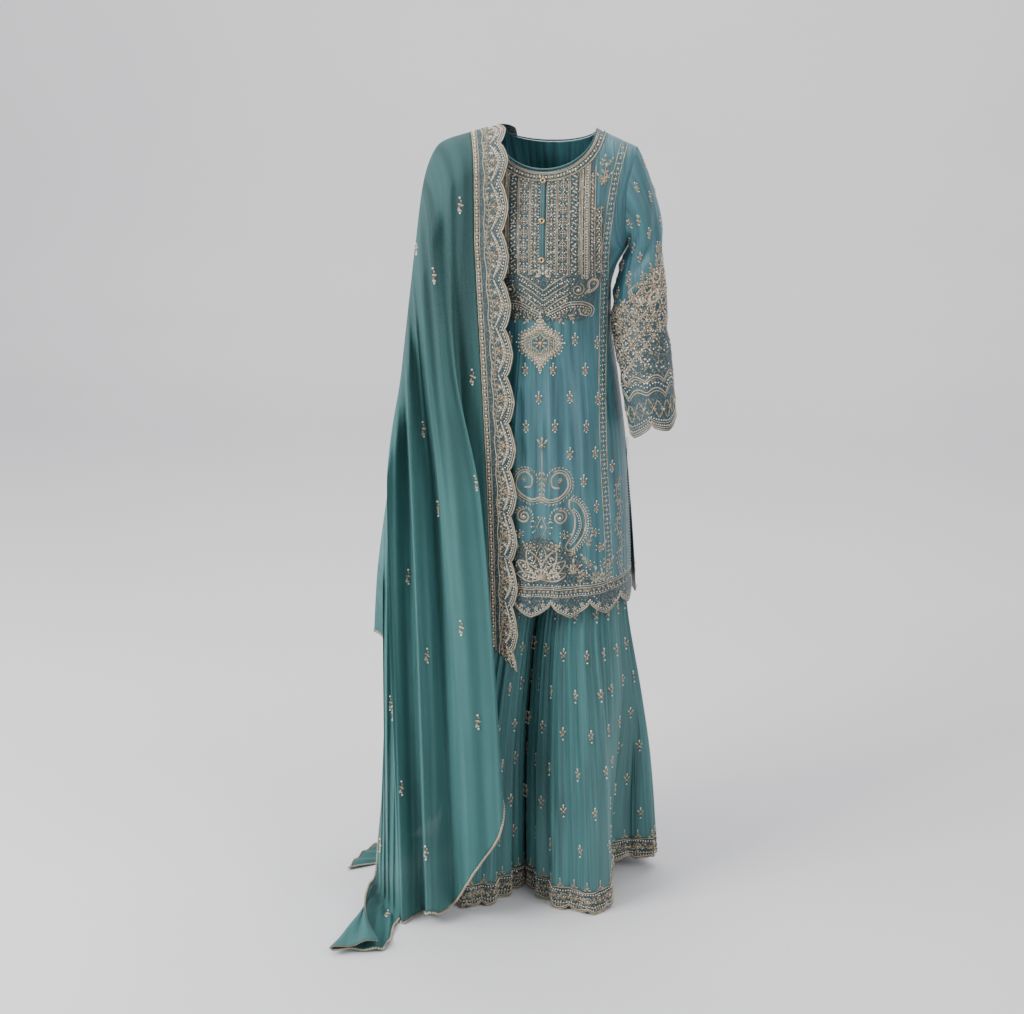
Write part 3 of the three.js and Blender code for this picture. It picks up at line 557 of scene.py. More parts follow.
def sleeveTop(turn):
    # where the heavy work begins, higher towards the outside of the arm
    return sleeve["length"] * (0.475 + 0.1 * np.sin(np.radians(turn - 90.0)))


# Shader groups that several cloths share.

waveTurn = 6.2832


def nodeGroup(name, inputs, outputs):
    group = bpy.data.node_groups.new(name, "ShaderNodeTree")
    for socket, kind, value in inputs:
        made = group.interface.new_socket(name=socket, in_out="INPUT", socket_type=kind)
        if value is not None:
            made.default_value = value
    for socket, kind in outputs:
        group.interface.new_socket(name=socket, in_out="OUTPUT", socket_type=kind)
    enter = group.nodes.new("NodeGroupInput")
    leave = group.nodes.new("NodeGroupOutput")
    return group, enter, leave


def node(tree, kind, settings=None, **links):
    made = tree.nodes.new(kind)
    for key, value in (settings or {}).items():
        setattr(made, key, value)
    for key, value in links.items():
        place = int(key[1:]) if key[0] == "i" and key[1:].isdigit() else key.replace("_", " ")
        if isinstance(value, bpy.types.NodeSocket):
            tree.links.new(value, made.inputs[place])
        else:
            made.inputs[place].default_value = value
    return made


def math2(tree, operation, a, b, clamp=False):
    return node(tree, "ShaderNodeMath", {"operation": operation, "use_clamp": clamp}, i0=a, i1=b).outputs[0]


def makeWeaveGroup():
    # crossing threads: a height, a mask of the threads, and a slow tone from slubs
    group, enter, leave = nodeGroup(
        "clothWeave",
        [("Vector", "NodeSocketVector", None), ("Threads", "NodeSocketFloat", 900.0),
         ("Slub", "NodeSocketFloat", 0.5)],
        [("Height", "NodeSocketFloat"), ("Threading", "NodeSocketFloat"), ("Tone", "NodeSocketFloat")])
    place = enter.outputs["Vector"]
    threads = enter.outputs["Threads"]
    scaled = node(group, "ShaderNodeVectorMath", {"operation": "SCALE"}, i0=place, Scale=threads).outputs[0]
    parts = node(group, "ShaderNodeSeparateXYZ", i0=scaled)
    warp = math2(group, "SINE", math2(group, "MULTIPLY", parts.outputs[0], waveTurn), 0.0)
    weft = math2(group, "SINE", math2(group, "MULTIPLY", parts.outputs[1], waveTurn), 0.0)
    height = math2(group, "MULTIPLY", math2(group, "ADD", warp, weft), 0.5)
    threading = math2(group, "MAXIMUM", warp, weft)
    longer = node(group, "ShaderNodeMapping", i0=place, Scale=(90.0, 900.0, 1.0)).outputs[0]
    slubs = node(group, "ShaderNodeTexNoise", Vector=longer, Scale=1.0, Detail=3.0).outputs[0]
    tone = math2(group, "MULTIPLY", math2(group, "SUBTRACT", slubs, 0.5), enter.outputs["Slub"])
    group.links.new(math2(group, "ADD", height, tone), leave.inputs["Height"])
    group.links.new(threading, leave.inputs["Threading"])
    group.links.new(tone, leave.inputs["Tone"])
    return group


def makeToneGroup():
    # a colour that drifts a little over the cloth, darker in places and a touch bluer in others
    group, enter, leave = nodeGroup(
        "clothTone",
        [("Color", "NodeSocketColor", (0.5, 0.5, 0.5, 1.0)),
         ("Second", "NodeSocketColor", (0.4, 0.4, 0.5, 1.0)),
         ("Vector", "NodeSocketVector", None), ("Scale", "NodeSocketFloat", 6.0),
         ("Amount", "NodeSocketFloat", 0.5), ("Threads", "NodeSocketFloat", 0.0)],
        [("Color", "NodeSocketColor")])
    drift = node(group, "ShaderNodeTexNoise", Vector=enter.outputs["Vector"], Scale=enter.outputs["Scale"],
                 Detail=4.0)
    share = node(group, "ShaderNodeMapRange", i0=drift.outputs[0], i1=0.35, i2=0.65, i3=0.0, i4=1.0)
    share = math2(group, "MULTIPLY", share.outputs[0], enter.outputs["Amount"], clamp=True)
    mixed = node(group, "ShaderNodeMix", {"data_type": "RGBA"}, i0=share)
    group.links.new(enter.outputs["Color"], mixed.inputs[6])
    group.links.new(enter.outputs["Second"], mixed.inputs[7])
    # Threads lightens or darkens the colour: it carries the slubs' and strands' own tone together with
    # painted shade and highlight from creases, cord grooves and the shoulder.
    lighter = math2(group, "ADD", enter.outputs["Threads"], 1.0)
    toned = node(group, "ShaderNodeHueSaturation", Color=mixed.outputs[2], Value=lighter)
    group.links.new(toned.outputs[0], leave.inputs["Color"])
    return group


def makeStitchGroup():
    # ground filled with small stitches: a mask of the stitches and their height. The mask also colours each
    # stitch, lighter in its middle and darker to its edge, as painted shade that follows the height.
    group, enter, leave = nodeGroup(
        "stitchFill", [("Vector", "NodeSocketVector", None), ("Scale", "NodeSocketFloat", 420.0)],
        [("Mask", "NodeSocketFloat"), ("Height", "NodeSocketFloat")])
    cells = node(group, "ShaderNodeTexVoronoi", Vector=enter.outputs["Vector"], Scale=enter.outputs["Scale"])
    dome = node(group, "ShaderNodeMapRange", i0=cells.outputs["Distance"], i1=0.15, i2=0.55, i3=1.0, i4=0.0)
    pick = node(group, "ShaderNodeSeparateColor", Color=cells.outputs["Color"])
    chosen = math2(group, "GREATER_THAN", pick.outputs[0], 0.42)
    mask = math2(group, "MULTIPLY", dome.outputs[0], chosen, True)
    group.links.new(mask, leave.inputs["Mask"])
    group.links.new(mask, leave.inputs["Height"])
    return group


weaveGroup = makeWeaveGroup()
toneGroup = makeToneGroup()
stitchGroup = makeStitchGroup()


def linear(colour):
    # a colour as seen on screen, 0 to 255, as the light it stands for
    share = np.array(colour, float) / 255.0
    lit = np.where(share <= 0.04045, share / 12.92, ((share + 0.055) / 1.055) ** 2.4)
    return (*lit.tolist(), 1.0)


def newMaterial(name):
    made = bpy.data.materials.new(name)
    made.use_nodes = True
    return made, made.node_tree, made.node_tree.nodes["Principled BSDF"]


def groupNode(tree, group, **links):
    return node(tree, "ShaderNodeGroup", {"node_tree": group}, **links)


def toneNode(tree, place, look):
    return groupNode(tree, toneGroup, Vector=place, Scale=look["driftScale"], Amount=look["drift"],
                     Color=linear(look["colour"]), Second=linear(look["second"]))


def setSockets(shader, look, sockets):
    for key, socket in sockets.items():
        shader.inputs[socket].default_value = look[key]


def clothMaterial(name, look):
    made, tree, shader = newMaterial(name)
    place = node(tree, "ShaderNodeUVMap", {"uv_map": "cloth"}).outputs[0]
    weave = groupNode(tree, weaveGroup, Vector=place, Threads=look["threads"], Slub=look["slub"])
    solidPlace = node(tree, "ShaderNodeTexCoord").outputs["Object"]
    tone = toneNode(tree, solidPlace, look)
    # painted shade and highlight: the streak noise that bends the normals as creases also darkens and
    # lightens the colour along them
    longer = node(tree, "ShaderNodeMapping", i0=place, Scale=look["streaks"]).outputs[0]
    streak = node(tree, "ShaderNodeTexNoise", Vector=longer, Scale=1.0, Detail=4.0, Distortion=0.6)
    paintedCreaseShade = math2(tree, "MULTIPLY", math2(tree, "SUBTRACT", streak.outputs[0], 0.5), look["creaseShadeAmount"])
    slubToneAndPaintedShade = math2(tree, "ADD", math2(tree, "MULTIPLY", weave.outputs["Tone"], 0.25), paintedCreaseShade)
    if "shoulder" in look:
        # painted shade: the cloth is darkened towards the shoulder, where it lies over shadow
        high = node(tree, "ShaderNodeSeparateXYZ", i0=solidPlace).outputs[2]
        paintedShoulderShade = node(tree, "ShaderNodeMapRange", i0=high, i1=-0.66, i2=-0.3, i3=0.0, i4=look["shoulder"])
        slubToneAndPaintedShade = math2(tree, "ADD", slubToneAndPaintedShade, paintedShoulderShade.outputs[0])
    tree.links.new(slubToneAndPaintedShade, tone.inputs["Threads"])
    # worked cloth: a dark ground under light stitches; the dark ground is partly its own thread colour and
    # partly painted shade between the raised beads and petals
    dense = node(tree, "ShaderNodeAttribute", {"attribute_name": "dense"}).outputs["Fac"]
    stitches = groupNode(tree, stitchGroup, Vector=place, Scale=330.0)
    groundAndShade = node(tree, "ShaderNodeMix", {"data_type": "RGBA"}, i0=stitches.outputs["Mask"],
                  i6=linear(look["groundAndShade"]), i7=linear(look["stitches"]))
    whole = node(tree, "ShaderNodeMix", {"data_type": "RGBA"}, i0=dense, i6=tone.outputs["Color"],
                 i7=groundAndShade.outputs[2])
    tree.links.new(whole.outputs[2], shader.inputs["Base Color"])
    raised = math2(tree, "MULTIPLY", math2(tree, "MULTIPLY", stitches.outputs["Height"], dense), 2.5)
    height = math2(tree, "ADD", math2(tree, "MULTIPLY", weave.outputs["Height"], look["bump"]), raised)
    bump = node(tree, "ShaderNodeBump", Height=height, Strength=0.9, Distance=0.0003)
    folds = node(tree, "ShaderNodeBump", Height=streak.outputs[0], Strength=look["creasing"], Distance=0.004)
    tree.links.new(folds.outputs[0], bump.inputs["Normal"])
    tree.links.new(bump.outputs[0], shader.inputs["Normal"])
    setSockets(shader, look, {"roughness": "Roughness", "specular": "Specular IOR Level",
                              "sheen": "Sheen Weight"})
    shader.inputs["Sheen Roughness"].default_value = 0.45
    shader.inputs["Sheen Tint"].default_value = linear(look["sheenColour"])
    if "alpha" in look:
        low, high = look["alpha"]
        threading = weave.outputs["Threading"]
        cover = node(tree, "ShaderNodeMapRange", i0=threading, i1=-0.4, i2=0.6, i3=low, i4=high)
        tree.links.new(cover.outputs[0], shader.inputs["Alpha"])
    return made


workedLook = {"groundAndShade": (36, 66, 72), "stitches": (112, 110, 98)}
# Each look's crease streaks paint shade and highlight into its colour, and the dupatta's also paints it
# darker towards the shoulder.
clothLooks = {
    "kurtaSatin": {
        "colour": (52, 97, 101), "second": (64, 106, 116), "drift": 0.8, "driftScale": 9.0, "threads": 1400.0,
        "slub": 0.7, "bump": 0.12, "roughness": 0.4, "specular": 0.5, "sheen": 0.2,
        "sheenColour": (150, 190, 205), "streaks": (70.0, 4.0, 1.0), "creaseShadeAmount": 2.0, "creasing": 1.0},
    "ghararaOrganza": {
        "colour": (58, 104, 104), "second": (50, 94, 96), "drift": 0.6, "driftScale": 7.0, "threads": 1100.0,
        "slub": 1.0, "bump": 0.15, "roughness": 0.5, "specular": 0.45, "sheen": 0.25,
        "sheenColour": (150, 190, 190), "streaks": (60.0, 3.0, 1.0), "creaseShadeAmount": 1.7,
        "creasing": 0.7},
    "dupattaChiffon": {
        "colour": (64, 109, 108), "second": (57, 100, 99), "drift": 0.6, "driftScale": 6.0, "threads": 1000.0,
        "slub": 0.8, "bump": 0.1, "roughness": 0.7, "specular": 0.3, "sheen": 0.25,
        "sheenColour": (140, 180, 180), "alpha": (0.74, 0.9), "streaks": (30.0, 2.0, 1.0), "creaseShadeAmount": 0.9,
        "creasing": 0.6, "shoulder": -0.5},
    "darkGroundAndShade": {
        "colour": (50, 84, 88), "second": (70, 88, 86), "drift": 0.7, "driftScale": 30.0, "threads": 900.0,
        "slub": 1.2, "bump": 0.2, "roughness": 0.55, "specular": 0.4, "sheen": 0.1,
        "sheenColour": (150, 180, 180), "streaks": (40.0, 6.0, 1.0), "creaseShadeAmount": 0.2, "creasing": 0.1,
        "groundAndShade": (36, 62, 66), "stitches": (128, 122, 106)},
    "bindingSatin": {
        "colour": (46, 84, 86), "second": (56, 94, 96), "drift": 0.5, "driftScale": 30.0, "threads": 1400.0,
        "slub": 0.6, "bump": 0.15, "roughness": 0.45, "specular": 0.5, "sheen": 0.2,
        "sheenColour": (150, 190, 200), "streaks": (60.0, 60.0, 1.0), "creaseShadeAmount": 0.3, "creasing": 0.1},
}
cloths = {name: clothMaterial(name, {**workedLook, **look}) for name, look in clothLooks.items()}


def makeRopeGroup():
    # twisted cord: slanting strands along the thread, with painted highlight on the strands' crowns and
    # painted shade in the grooves between them
    group, enter, leave = nodeGroup(
        "ropeTwist", [("Vector", "NodeSocketVector", None), ("Pitch", "NodeSocketFloat", 700.0)],
        [("Height", "NodeSocketFloat"), ("Tone", "NodeSocketFloat")])
    parts = node(group, "ShaderNodeSeparateXYZ", i0=enter.outputs["Vector"])
    slant = math2(group, "ADD", parts.outputs[0], math2(group, "MULTIPLY", parts.outputs[1], 0.9))
    turned = math2(group, "MULTIPLY", slant, math2(group, "MULTIPLY", enter.outputs["Pitch"], waveTurn))
    strand = math2(group, "SINE", turned, 0.0)
    group.links.new(strand, leave.inputs["Height"])
    group.links.new(math2(group, "MULTIPLY", strand, 0.12), leave.inputs["Tone"])
    return group


ropeGroup = makeRopeGroup()


def trimMaterial(name, look):
    made, tree, shader = newMaterial(name)
    solidPlace = node(tree, "ShaderNodeTexCoord").outputs["Object"]
    tone = toneNode(tree, solidPlace, look)
    tree.links.new(tone.outputs["Color"], shader.inputs["Base Color"])
    if "pitch" in look:
        place = node(tree, "ShaderNodeUVMap", {"uv_map": "cloth"}).outputs[0]
        rope = groupNode(tree, ropeGroup, Vector=place, Pitch=look["pitch"])
        # painted shade and highlight: the cord's colour darkens in its grooves and lightens on its strands,
        # following the height
        tree.links.new(rope.outputs["Tone"], tone.inputs["Threads"])
        height = rope.outputs["Height"]
    else:
        grain = node(tree, "ShaderNodeTexNoise", Vector=solidPlace, Scale=look["grain"], Detail=2.0)
        height = grain.outputs[0]
    bump = node(tree, "ShaderNodeBump", Height=height, Strength=look["bump"], Distance=0.0002)
    tree.links.new(bump.outputs[0], shader.inputs["Normal"])
    setSockets(shader, look, {"roughness": "Roughness", "metallic": "Metallic", "coat": "Coat Weight"})
    shader.inputs["Coat Roughness"].default_value = 0.15
    return made


plainLook = {"metallic": 0.0, "coat": 0.0}
trimLooks = {
    "goldThread": {"colour": (194, 177, 148), "second": (138, 122, 98), "drift": 0.9, "driftScale": 60.0,
                   "pitch": 620.0, "bump": 0.5, "roughness": 0.42, "metallic": 0.35},
    "beigeThread": {"colour": (196, 182, 160), "second": (172, 158, 138), "drift": 0.7, "driftScale": 50.0,
                    "pitch": 520.0, "bump": 0.5, "roughness": 0.6},
    "goldPetal": {"colour": (188, 170, 140), "second": (118, 106, 86), "drift": 1.0, "driftScale": 220.0,
                  "grain": 1500.0, "bump": 0.4, "roughness": 0.4, "metallic": 0.3},
    "beigePetal": {"colour": (196, 182, 158), "second": (160, 146, 126), "drift": 0.9, "driftScale": 200.0,
                   "grain": 1500.0, "bump": 0.4, "roughness": 0.55},
    "peachPetal": {"colour": (206, 172, 146), "second": (186, 156, 134), "drift": 0.7, "driftScale": 80.0,
                   "grain": 1500.0, "bump": 0.4, "roughness": 0.5, "metallic": 0.1},
    "pearl": {"colour": (242, 239, 230), "second": (226, 220, 206), "drift": 0.6, "driftScale": 120.0,
              "grain": 900.0, "bump": 0.1, "roughness": 0.28, "coat": 0.4},
    "peachStone": {"colour": (214, 174, 148), "second": (196, 150, 122), "drift": 0.6, "driftScale": 120.0,
                   "grain": 900.0, "bump": 0.1, "roughness": 0.3, "metallic": 0.1, "coat": 0.3},
    "greySeed": {"colour": (132, 128, 114), "second": (92, 94, 86), "drift": 0.9, "driftScale": 140.0,
                 "grain": 1200.0, "bump": 0.3, "roughness": 0.4, "metallic": 0.3},
    "buttonGold": {"colour": (222, 184, 132), "second": (196, 158, 108), "drift": 0.6, "driftScale": 200.0,
                   "grain": 600.0, "bump": 0.15, "roughness": 0.28, "metallic": 0.9},
}
trims = {name: trimMaterial(name, {**plainLook, **look}) for name, look in trimLooks.items()}
print("materials ready")


# Cloth pieces: each is a grid laid on its form, with its UV map in metres.

def finish(name, mesh, materials):
    obj = bpy.data.objects.new(name, mesh)
    bpy.context.scene.collection.objects.link(obj)
    for material in materials:
        mesh.materials.append(material)
    mesh.shade_smooth()
    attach(obj, "root")
    return obj


def clothPiece(name, columns, rows, pointAt, size, inside, wall, material, dense=None):
    # pointAt takes shares across and along, inside is a point on the hidden side of the cloth, and dense
    # tells where the cloth is worked all over
    form = bmesh.new()
    bmesh.ops.create_grid(form, x_segments=columns, y_segments=rows, size=0.5)
    mesh = bpy.data.meshes.new(name)
    form.to_mesh(mesh)
    form.free()
    flat = np.empty(len(mesh.vertices) * 3)
    mesh.vertices.foreach_get("co", flat)
    flat = flat.reshape(-1, 3)[:, :2] + 0.5
    placed = pointAt(flat[:, 0], flat[:, 1]) * millimetre
    mesh.vertices.foreach_set("co", placed.ravel())
    corners = np.empty(len(mesh.loops), int)
    mesh.loops.foreach_get("vertex_index", corners)
    mesh.uv_layers.new(name="cloth")
    mesh.uv_layers["cloth"].data.foreach_set("uv", (flat[corners] * np.array(size)).ravel())
    worked = np.zeros(len(flat)) if dense is None else dense(flat[:, 0], flat[:, 1], placed / millimetre)
    mesh.attributes.new(name="dense", type="FLOAT", domain="POINT")
    mesh.attributes["dense"].data.foreach_set("value", np.asarray(worked, float))
    mesh.update()
    form = bmesh.new()
    form.from_mesh(mesh)
    bmesh.ops.remove_doubles(form, verts=form.verts, dist=1e-6)
    form.normal_update()
    hidden = mathutils.Vector(inside) * millimetre
    facing = sum(face.normal.dot(face.calc_center_median() - hidden) for face in form.faces)
    if facing < 0:
        bmesh.ops.reverse_faces(form, faces=form.faces)
    form.to_mesh(mesh)
    form.free()
    obj = finish(name, mesh, [material])
    thick = obj.modifiers.new("wall", "SOLIDIFY")
    thick.thickness = wall * millimetre
    thick.offset = -1.0
    return obj


def workedAll(across, along, placed):
    return np.ones_like(across)


def panel(facing, tip, columns):
    # tip is the column of the lowest scallop's tip, of so many columns
    spread, walk, width = evenAcross(facing)

    def at(across, along):
        u = np.interp(across, walk, spread)
        tips = scallop((across * columns - tip) / kurta["scallopColumns"] + 0.5)
        return kurtaPoint(u, 1 - (1 - along) ** 1.15, facing, tips)

    return at, width * millimetre


frontAt, frontWidth = panel(-1, *kurta["frontTips"])
kurtaFront = clothPiece("kurtaFront", 156, 200, frontAt, (frontWidth, 0.86), (0, 0, -400), kurta["wall"],
                        cloths["kurtaSatin"], lambda a, b, placed: kurtaDense(placed[:, 0], placed[:, 2]))
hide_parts("kurta_front")
backAt, backWidth = panel(1, *kurta["backTips"])
kurtaBack = clothPiece("kurtaBack", 140, 170, backAt, (backWidth, 0.86), (0, 0, -400), kurta["wall"],
                       cloths["kurtaSatin"], lambda a, b, placed: 1.0 * (placed[:, 2] < kurta["hem"] + 36.0))
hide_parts("kurta_back")
print("kurta body ready")

for side, sign in (("left", 1), ("right", -1)):
    def sleeveAt(across, along, side=side):
        return sleevePoint(side, across * 2 * math.pi, along)

    made = clothPiece("sleeve" + side.capitalize(), sleeve["columns"], sleeve["rows"], sleeveAt, (0.34, 0.47),
                      (sign * 170, -12, -304), sleeve["wall"], cloths["kurtaSatin"],
                      lambda a, b, placed: 1.0 * (b * sleeve["length"] > sleeveTop(a * 360) + 5))
    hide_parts("sleeve_" + side)
print("sleeves ready")

# the gharara's hip piece, gathered flare and hem border for each leg
for side, sign in (("left", 1), ("right", -1)):
    def upperAt(across, along, sign=sign):
        z = mix(gharara["seam"], gharara["waistLow"] - kurta["seamGap"], along)
        return hipPoint(sign, across, z)

    def flareAt(across, along, side=side):
        turn = (2 * across - 1) * math.pi
        low = gharara["bandTop"] + hemLift(turn)
        return flarePoint(side, turn, mix(low, gharara["seam"] - kurta["seamGap"], along))

    def hemAt(across, along, side=side):
        turn = (2 * across - 1) * math.pi
        cut = gharara["scallopDepth"] * (1 - scallop(across * gharara["scallops"]))
        low = gharara["floor"] + hemLift(turn) + cut
        return flarePoint(side, turn, mix(low, gharara["bandTop"] + hemLift(turn) - kurta["seamGap"], along))

    ending = side.capitalize()
    upper = clothPiece("ghararaUpper" + ending, 80, 60, upperAt, (0.45, 0.44), (sign * 60, 0, -600),
                       gharara["wall"], cloths["ghararaOrganza"])
    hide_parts("gharara_upper_" + side)
    leg = clothPiece("ghararaFlare" + ending, gharara["columns"], gharara["rows"], flareAt, (1.9, 0.61),
                     (sign * 80, 30, -1100), gharara["wall"], cloths["ghararaOrganza"])
    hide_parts("gharara_flare_" + side)
    hem = clothPiece("ghararaHem" + ending, 320, 10, hemAt, (1.9, 0.05), (sign * 80, 30, -1440),
                     gharara["wall"], cloths["darkGroundAndShade"], workedAll)
    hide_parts("gharara_hem_" + side)


def bandAt(across, along):
    z = mix(gharara["waistLow"], gharara["waistTop"], along)
    turn = across * 2 * math.pi
    depth = np.where(np.sin(turn) < 0, readTable(hipForm, "front", z), readTable(hipForm, "back", z))
    return np.stack([readTable(hipForm, "reach", z) * np.cos(turn), depth * np.sin(turn), z], -1)


waistband = clothPiece("waistband", 96, 8, bandAt, (0.62, 0.04), (0, 0, -365), 1.6, cloths["ghararaOrganza"])
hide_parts("gharara_waistband")
print("gharara ready")


def dupattaAt(across, along):
    return dupattaPoint(across, 2 * along - 1)


def borderAt(across, along):
    return borderPoint(across, 2 * along - 1, 1.0)


dupattaCloth = clothPiece("dupattaCloth", dupatta["columns"], dupatta["rows"], dupattaAt, (0.9, 2.4),
                          (-150, 0, -400), dupatta["wall"], cloths["dupattaChiffon"])
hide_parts("dupatta_cloth")
dupattaBorder = clothPiece("dupattaBorder", 16, 560, borderAt, (0.074, 2.2), (-100, 0, -500), dupatta["wall"],
                           cloths["darkGroundAndShade"], workedAll)
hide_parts("dupatta_border")
print("dupatta ready")


# The rolled binding round the neck, the strip under the buttons, and the buttons.

binding = {"radius": 1.7, "share": 0.5, "columns": 12, "rows": 260}


def bindingAt(across, along):
    # along goes once round the neck: the front from right to left, then the back
    facing = np.where(along < 0.5, -1.0, 1.0)
    part = np.where(along < 0.5, along * 2, along * 2 - 1)
    u = facing * binding["share"] * np.cos(math.pi * part)

    def edge(v):
        front = kurtaPoint(u, v + 0 * u, -1, detail=0.0)
        back = kurtaPoint(u, v + 0 * u, 1, detail=0.0)
        return np.where((facing < 0)[..., None], front, back)

    top = edge(1.0)
    up = top - edge(0.985)
    up = up / np.linalg.norm(up, axis=-1, keepdims=True)
    turned = np.radians(across * 360.0)
    out = np.stack([0 * u, facing, 0 * u], -1)
    middle = top - out * kurta["wall"] + up * (binding["radius"] + 0.8)
    ring = up * np.cos(turned)[..., None] + out * np.sin(turned)[..., None]
    return middle + binding["radius"] * ring


neckBinding = clothPiece("neckBinding", binding["columns"], binding["rows"], bindingAt, (0.011, 0.46),
                         (0, 0, -300), 0.6, cloths["bindingSatin"])
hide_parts("neck_binding")

placket = {"half": 4.0, "top": -80.0, "low": -226.0, "wall": 1.1}


def placketAt(across, along):
    x = mix(-placket["half"], placket["half"], across)
    z = mix(placket["low"], placket["top"], along)
    groove = 0.9 * np.exp(-((x / 0.7) ** 2))
    rolled = 0.5 * (1 - (x / placket["half"]) ** 4)
    y = kurtaDepth(x, z, -1, 0.0) - kurta["seamGap"] - placket["wall"] + groove - rolled
    return np.stack([x, y, z], -1)


frontPlacket = clothPiece("frontPlacket", 16, 60, placketAt, (0.008, 0.146), (0, 100, -150), 0.8,
                          cloths["bindingSatin"])
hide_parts("front_placket")

button = {"radius": 5.0, "bead": 1.5, "heights": (-84, -152, -219)}
for index, z in enumerate(button["heights"]):
    form = bmesh.new()
    reach = button["radius"] - button["bead"]
    bmesh.ops.create_circle(form, segments=14, radius=button["bead"] * millimetre)
    quarter = mathutils.Matrix.Rotation(math.pi / 2, 3, "X")
    bmesh.ops.rotate(form, verts=form.verts, matrix=quarter)
    bmesh.ops.translate(form, verts=form.verts, vec=(reach * millimetre, 0.0, 0.0))
    bmesh.ops.spin(form, geom=form.verts[:] + form.edges[:], axis=(0, 0, 1), cent=(0, 0, 0),
                   angle=2 * math.pi, steps=36, use_merge=True)
    bmesh.ops.recalc_face_normals(form, faces=form.faces)
    for vert in form.verts:
        vert.co *= 1.0 + 0.03 * math.sin(12 * math.atan2(vert.co.y, vert.co.x))
    depth = kurtaDepth(np.array([0.0, 0.0, 0.0]), np.array([z - 5.0, z, z + 5.0]), -1, 0.0)
    lean = math.atan((depth[2] - depth[0]) / 10.0)
    bmesh.ops.rotate(form, verts=form.verts, matrix=mathutils.Matrix.Rotation(math.pi / 2 - lean, 3, "X"))
    away = depth[1] - kurta["seamGap"] * 2 - placket["wall"] - button["bead"]
    bmesh.ops.translate(form, verts=form.verts, vec=(0.0, away * millimetre, z * millimetre))
    mesh = bpy.data.meshes.new("button" + str(index + 1))
    form.to_mesh(mesh)
    form.free()
    ring = finish("button" + str(index + 1), mesh, [trims["buttonGold"]])
    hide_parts("button_" + str(index + 1))
print("neck parts ready")


# Needlework: beads and petals stamped, and threads laid, in millimetres on a garment's own surface.

def stampShape(build):
    form = bmesh.new()
    build(form)
    bmesh.ops.triangulate(form, faces=form.faces)
    form.verts.index_update()
    places = np.array([vert.co[:] for vert in form.verts])
    faces = np.array([[vert.index for vert in face.verts] for face in form.faces])
    form.free()
    return places, faces


def buildPearl(form):
    bmesh.ops.create_icosphere(form, subdivisions=1, radius=1.0)
    bmesh.ops.translate(form, vec=(0.0, 0.0, 0.6), verts=form.verts)


def openCone(form, segments, top, depth):
    bmesh.ops.create_cone(form, cap_ends=True, segments=segments, radius1=1.0, radius2=top, depth=depth)
    under = [face for face in form.faces if face.normal.z < -0.9]
    bmesh.ops.delete(form, geom=under, context="FACES")
    bmesh.ops.translate(form, vec=(0.0, 0.0, depth / 2), verts=form.verts)


def buildPetal(form):
    openCone(form, 8, 0.4, 1.0)
    for vert in form.verts:
        vert.co.y *= 1.0 - 0.55 * vert.co.x ** 2


def buildBar(form):
    openCone(form, 4, 0.6, 1.0)
    bmesh.ops.rotate(form, verts=form.verts, matrix=turnMatrix(45.0))


def buildSeed(form):
    openCone(form, 5, 0.4, 1.0)


def turnMatrix(degrees):
    return mathutils.Matrix.Rotation(math.radians(degrees), 3, "Z")


stampShapes = {
    "pearl": stampShape(buildPearl), "petal": stampShape(buildPetal), "bar": stampShape(buildBar),
    "seed": stampShape(buildSeed),
}
stripShapes = {}


def stripShape(count):
    # a strip of threads: count places along it and a raised middle line
    if count not in stripShapes:
        places, faces = stampShape(
            lambda form: bmesh.ops.create_grid(form, x_segments=count - 1, y_segments=2, size=0.5))
        along = np.rint((places[:, 0] + 0.5) * (count - 1)).astype(int)
        across = np.rint((places[:, 1] + 0.5) * 2).astype(int) - 1
        stripShapes[count] = (along, across, faces)
    return stripShapes[count]


def canvas(at, facing, step=(1.0, 1.0)):
    return {"at": at, "facing": facing, "step": step, "stamps": {}, "threads": []}


def framesAt(work, a, b):
    # a place on the cloth, the two ways along it, and the way out of it
    stepA, stepB = work["step"]
    here = work["at"](a, b)
    first = work["at"](a + stepA, b) - here
    second = work["at"](a, b + stepB) - here
    first = first / (np.linalg.norm(first, axis=-1, keepdims=True) + 1e-9)
    second = second - (second * first).sum(-1, keepdims=True) * first
    second = second / (np.linalg.norm(second, axis=-1, keepdims=True) + 1e-9)
    return here, first, second, work["facing"] * np.cross(first, second)


def flatPen(work):
    return {"work": work, "a": 0.0, "b": 0.0, "perA": 1.0, "perB": 1.0, "turn": 0.0, "size": 1.0, "hand": 1.0}


def penAt(work, a, b, turn=0.0, size=1.0, hand=1.0):
    # a motif's own flat millimetres about one place on the cloth
    stepA, stepB = work["step"]
    here = work["at"](np.array([a, a + stepA, a], float), np.array([b, b, b + stepB], float))
    perA = stepA / max(1e-6, float(np.linalg.norm(here[1] - here[0])))
    perB = stepB / max(1e-6, float(np.linalg.norm(here[2] - here[0])))
    return {"work": work, "a": a, "b": b, "perA": perA, "perB": perB, "turn": math.radians(turn),
            "size": size, "hand": hand}


def spots(pen, points):
    points = np.asarray(points, float)
    u = points[:, 0] * pen["hand"] * pen["size"]
    v = points[:, 1] * pen["size"]
    cosine, sine = math.cos(pen["turn"]), math.sin(pen["turn"])
    return pen["a"] + (u * cosine - v * sine) * pen["perA"], pen["b"] + (u * sine + v * cosine) * pen["perB"]


def stampAll(pen, kind, slot, points, size, turns=0.0):
    # size is the half length, half width and height of each
    a, b = spots(pen, points)
    turns = np.broadcast_to(np.radians(turns), a.shape)
    turns = np.where(pen["hand"] < 0, math.pi - turns, turns) + pen["turn"]
    length, width, height = (value * pen["size"] for value in size)
    rows = np.stack([a, b, turns] + [np.full(a.shape, value) for value in (length, width, height)], -1)
    pen["work"]["stamps"].setdefault((kind, slot), []).append(rows)


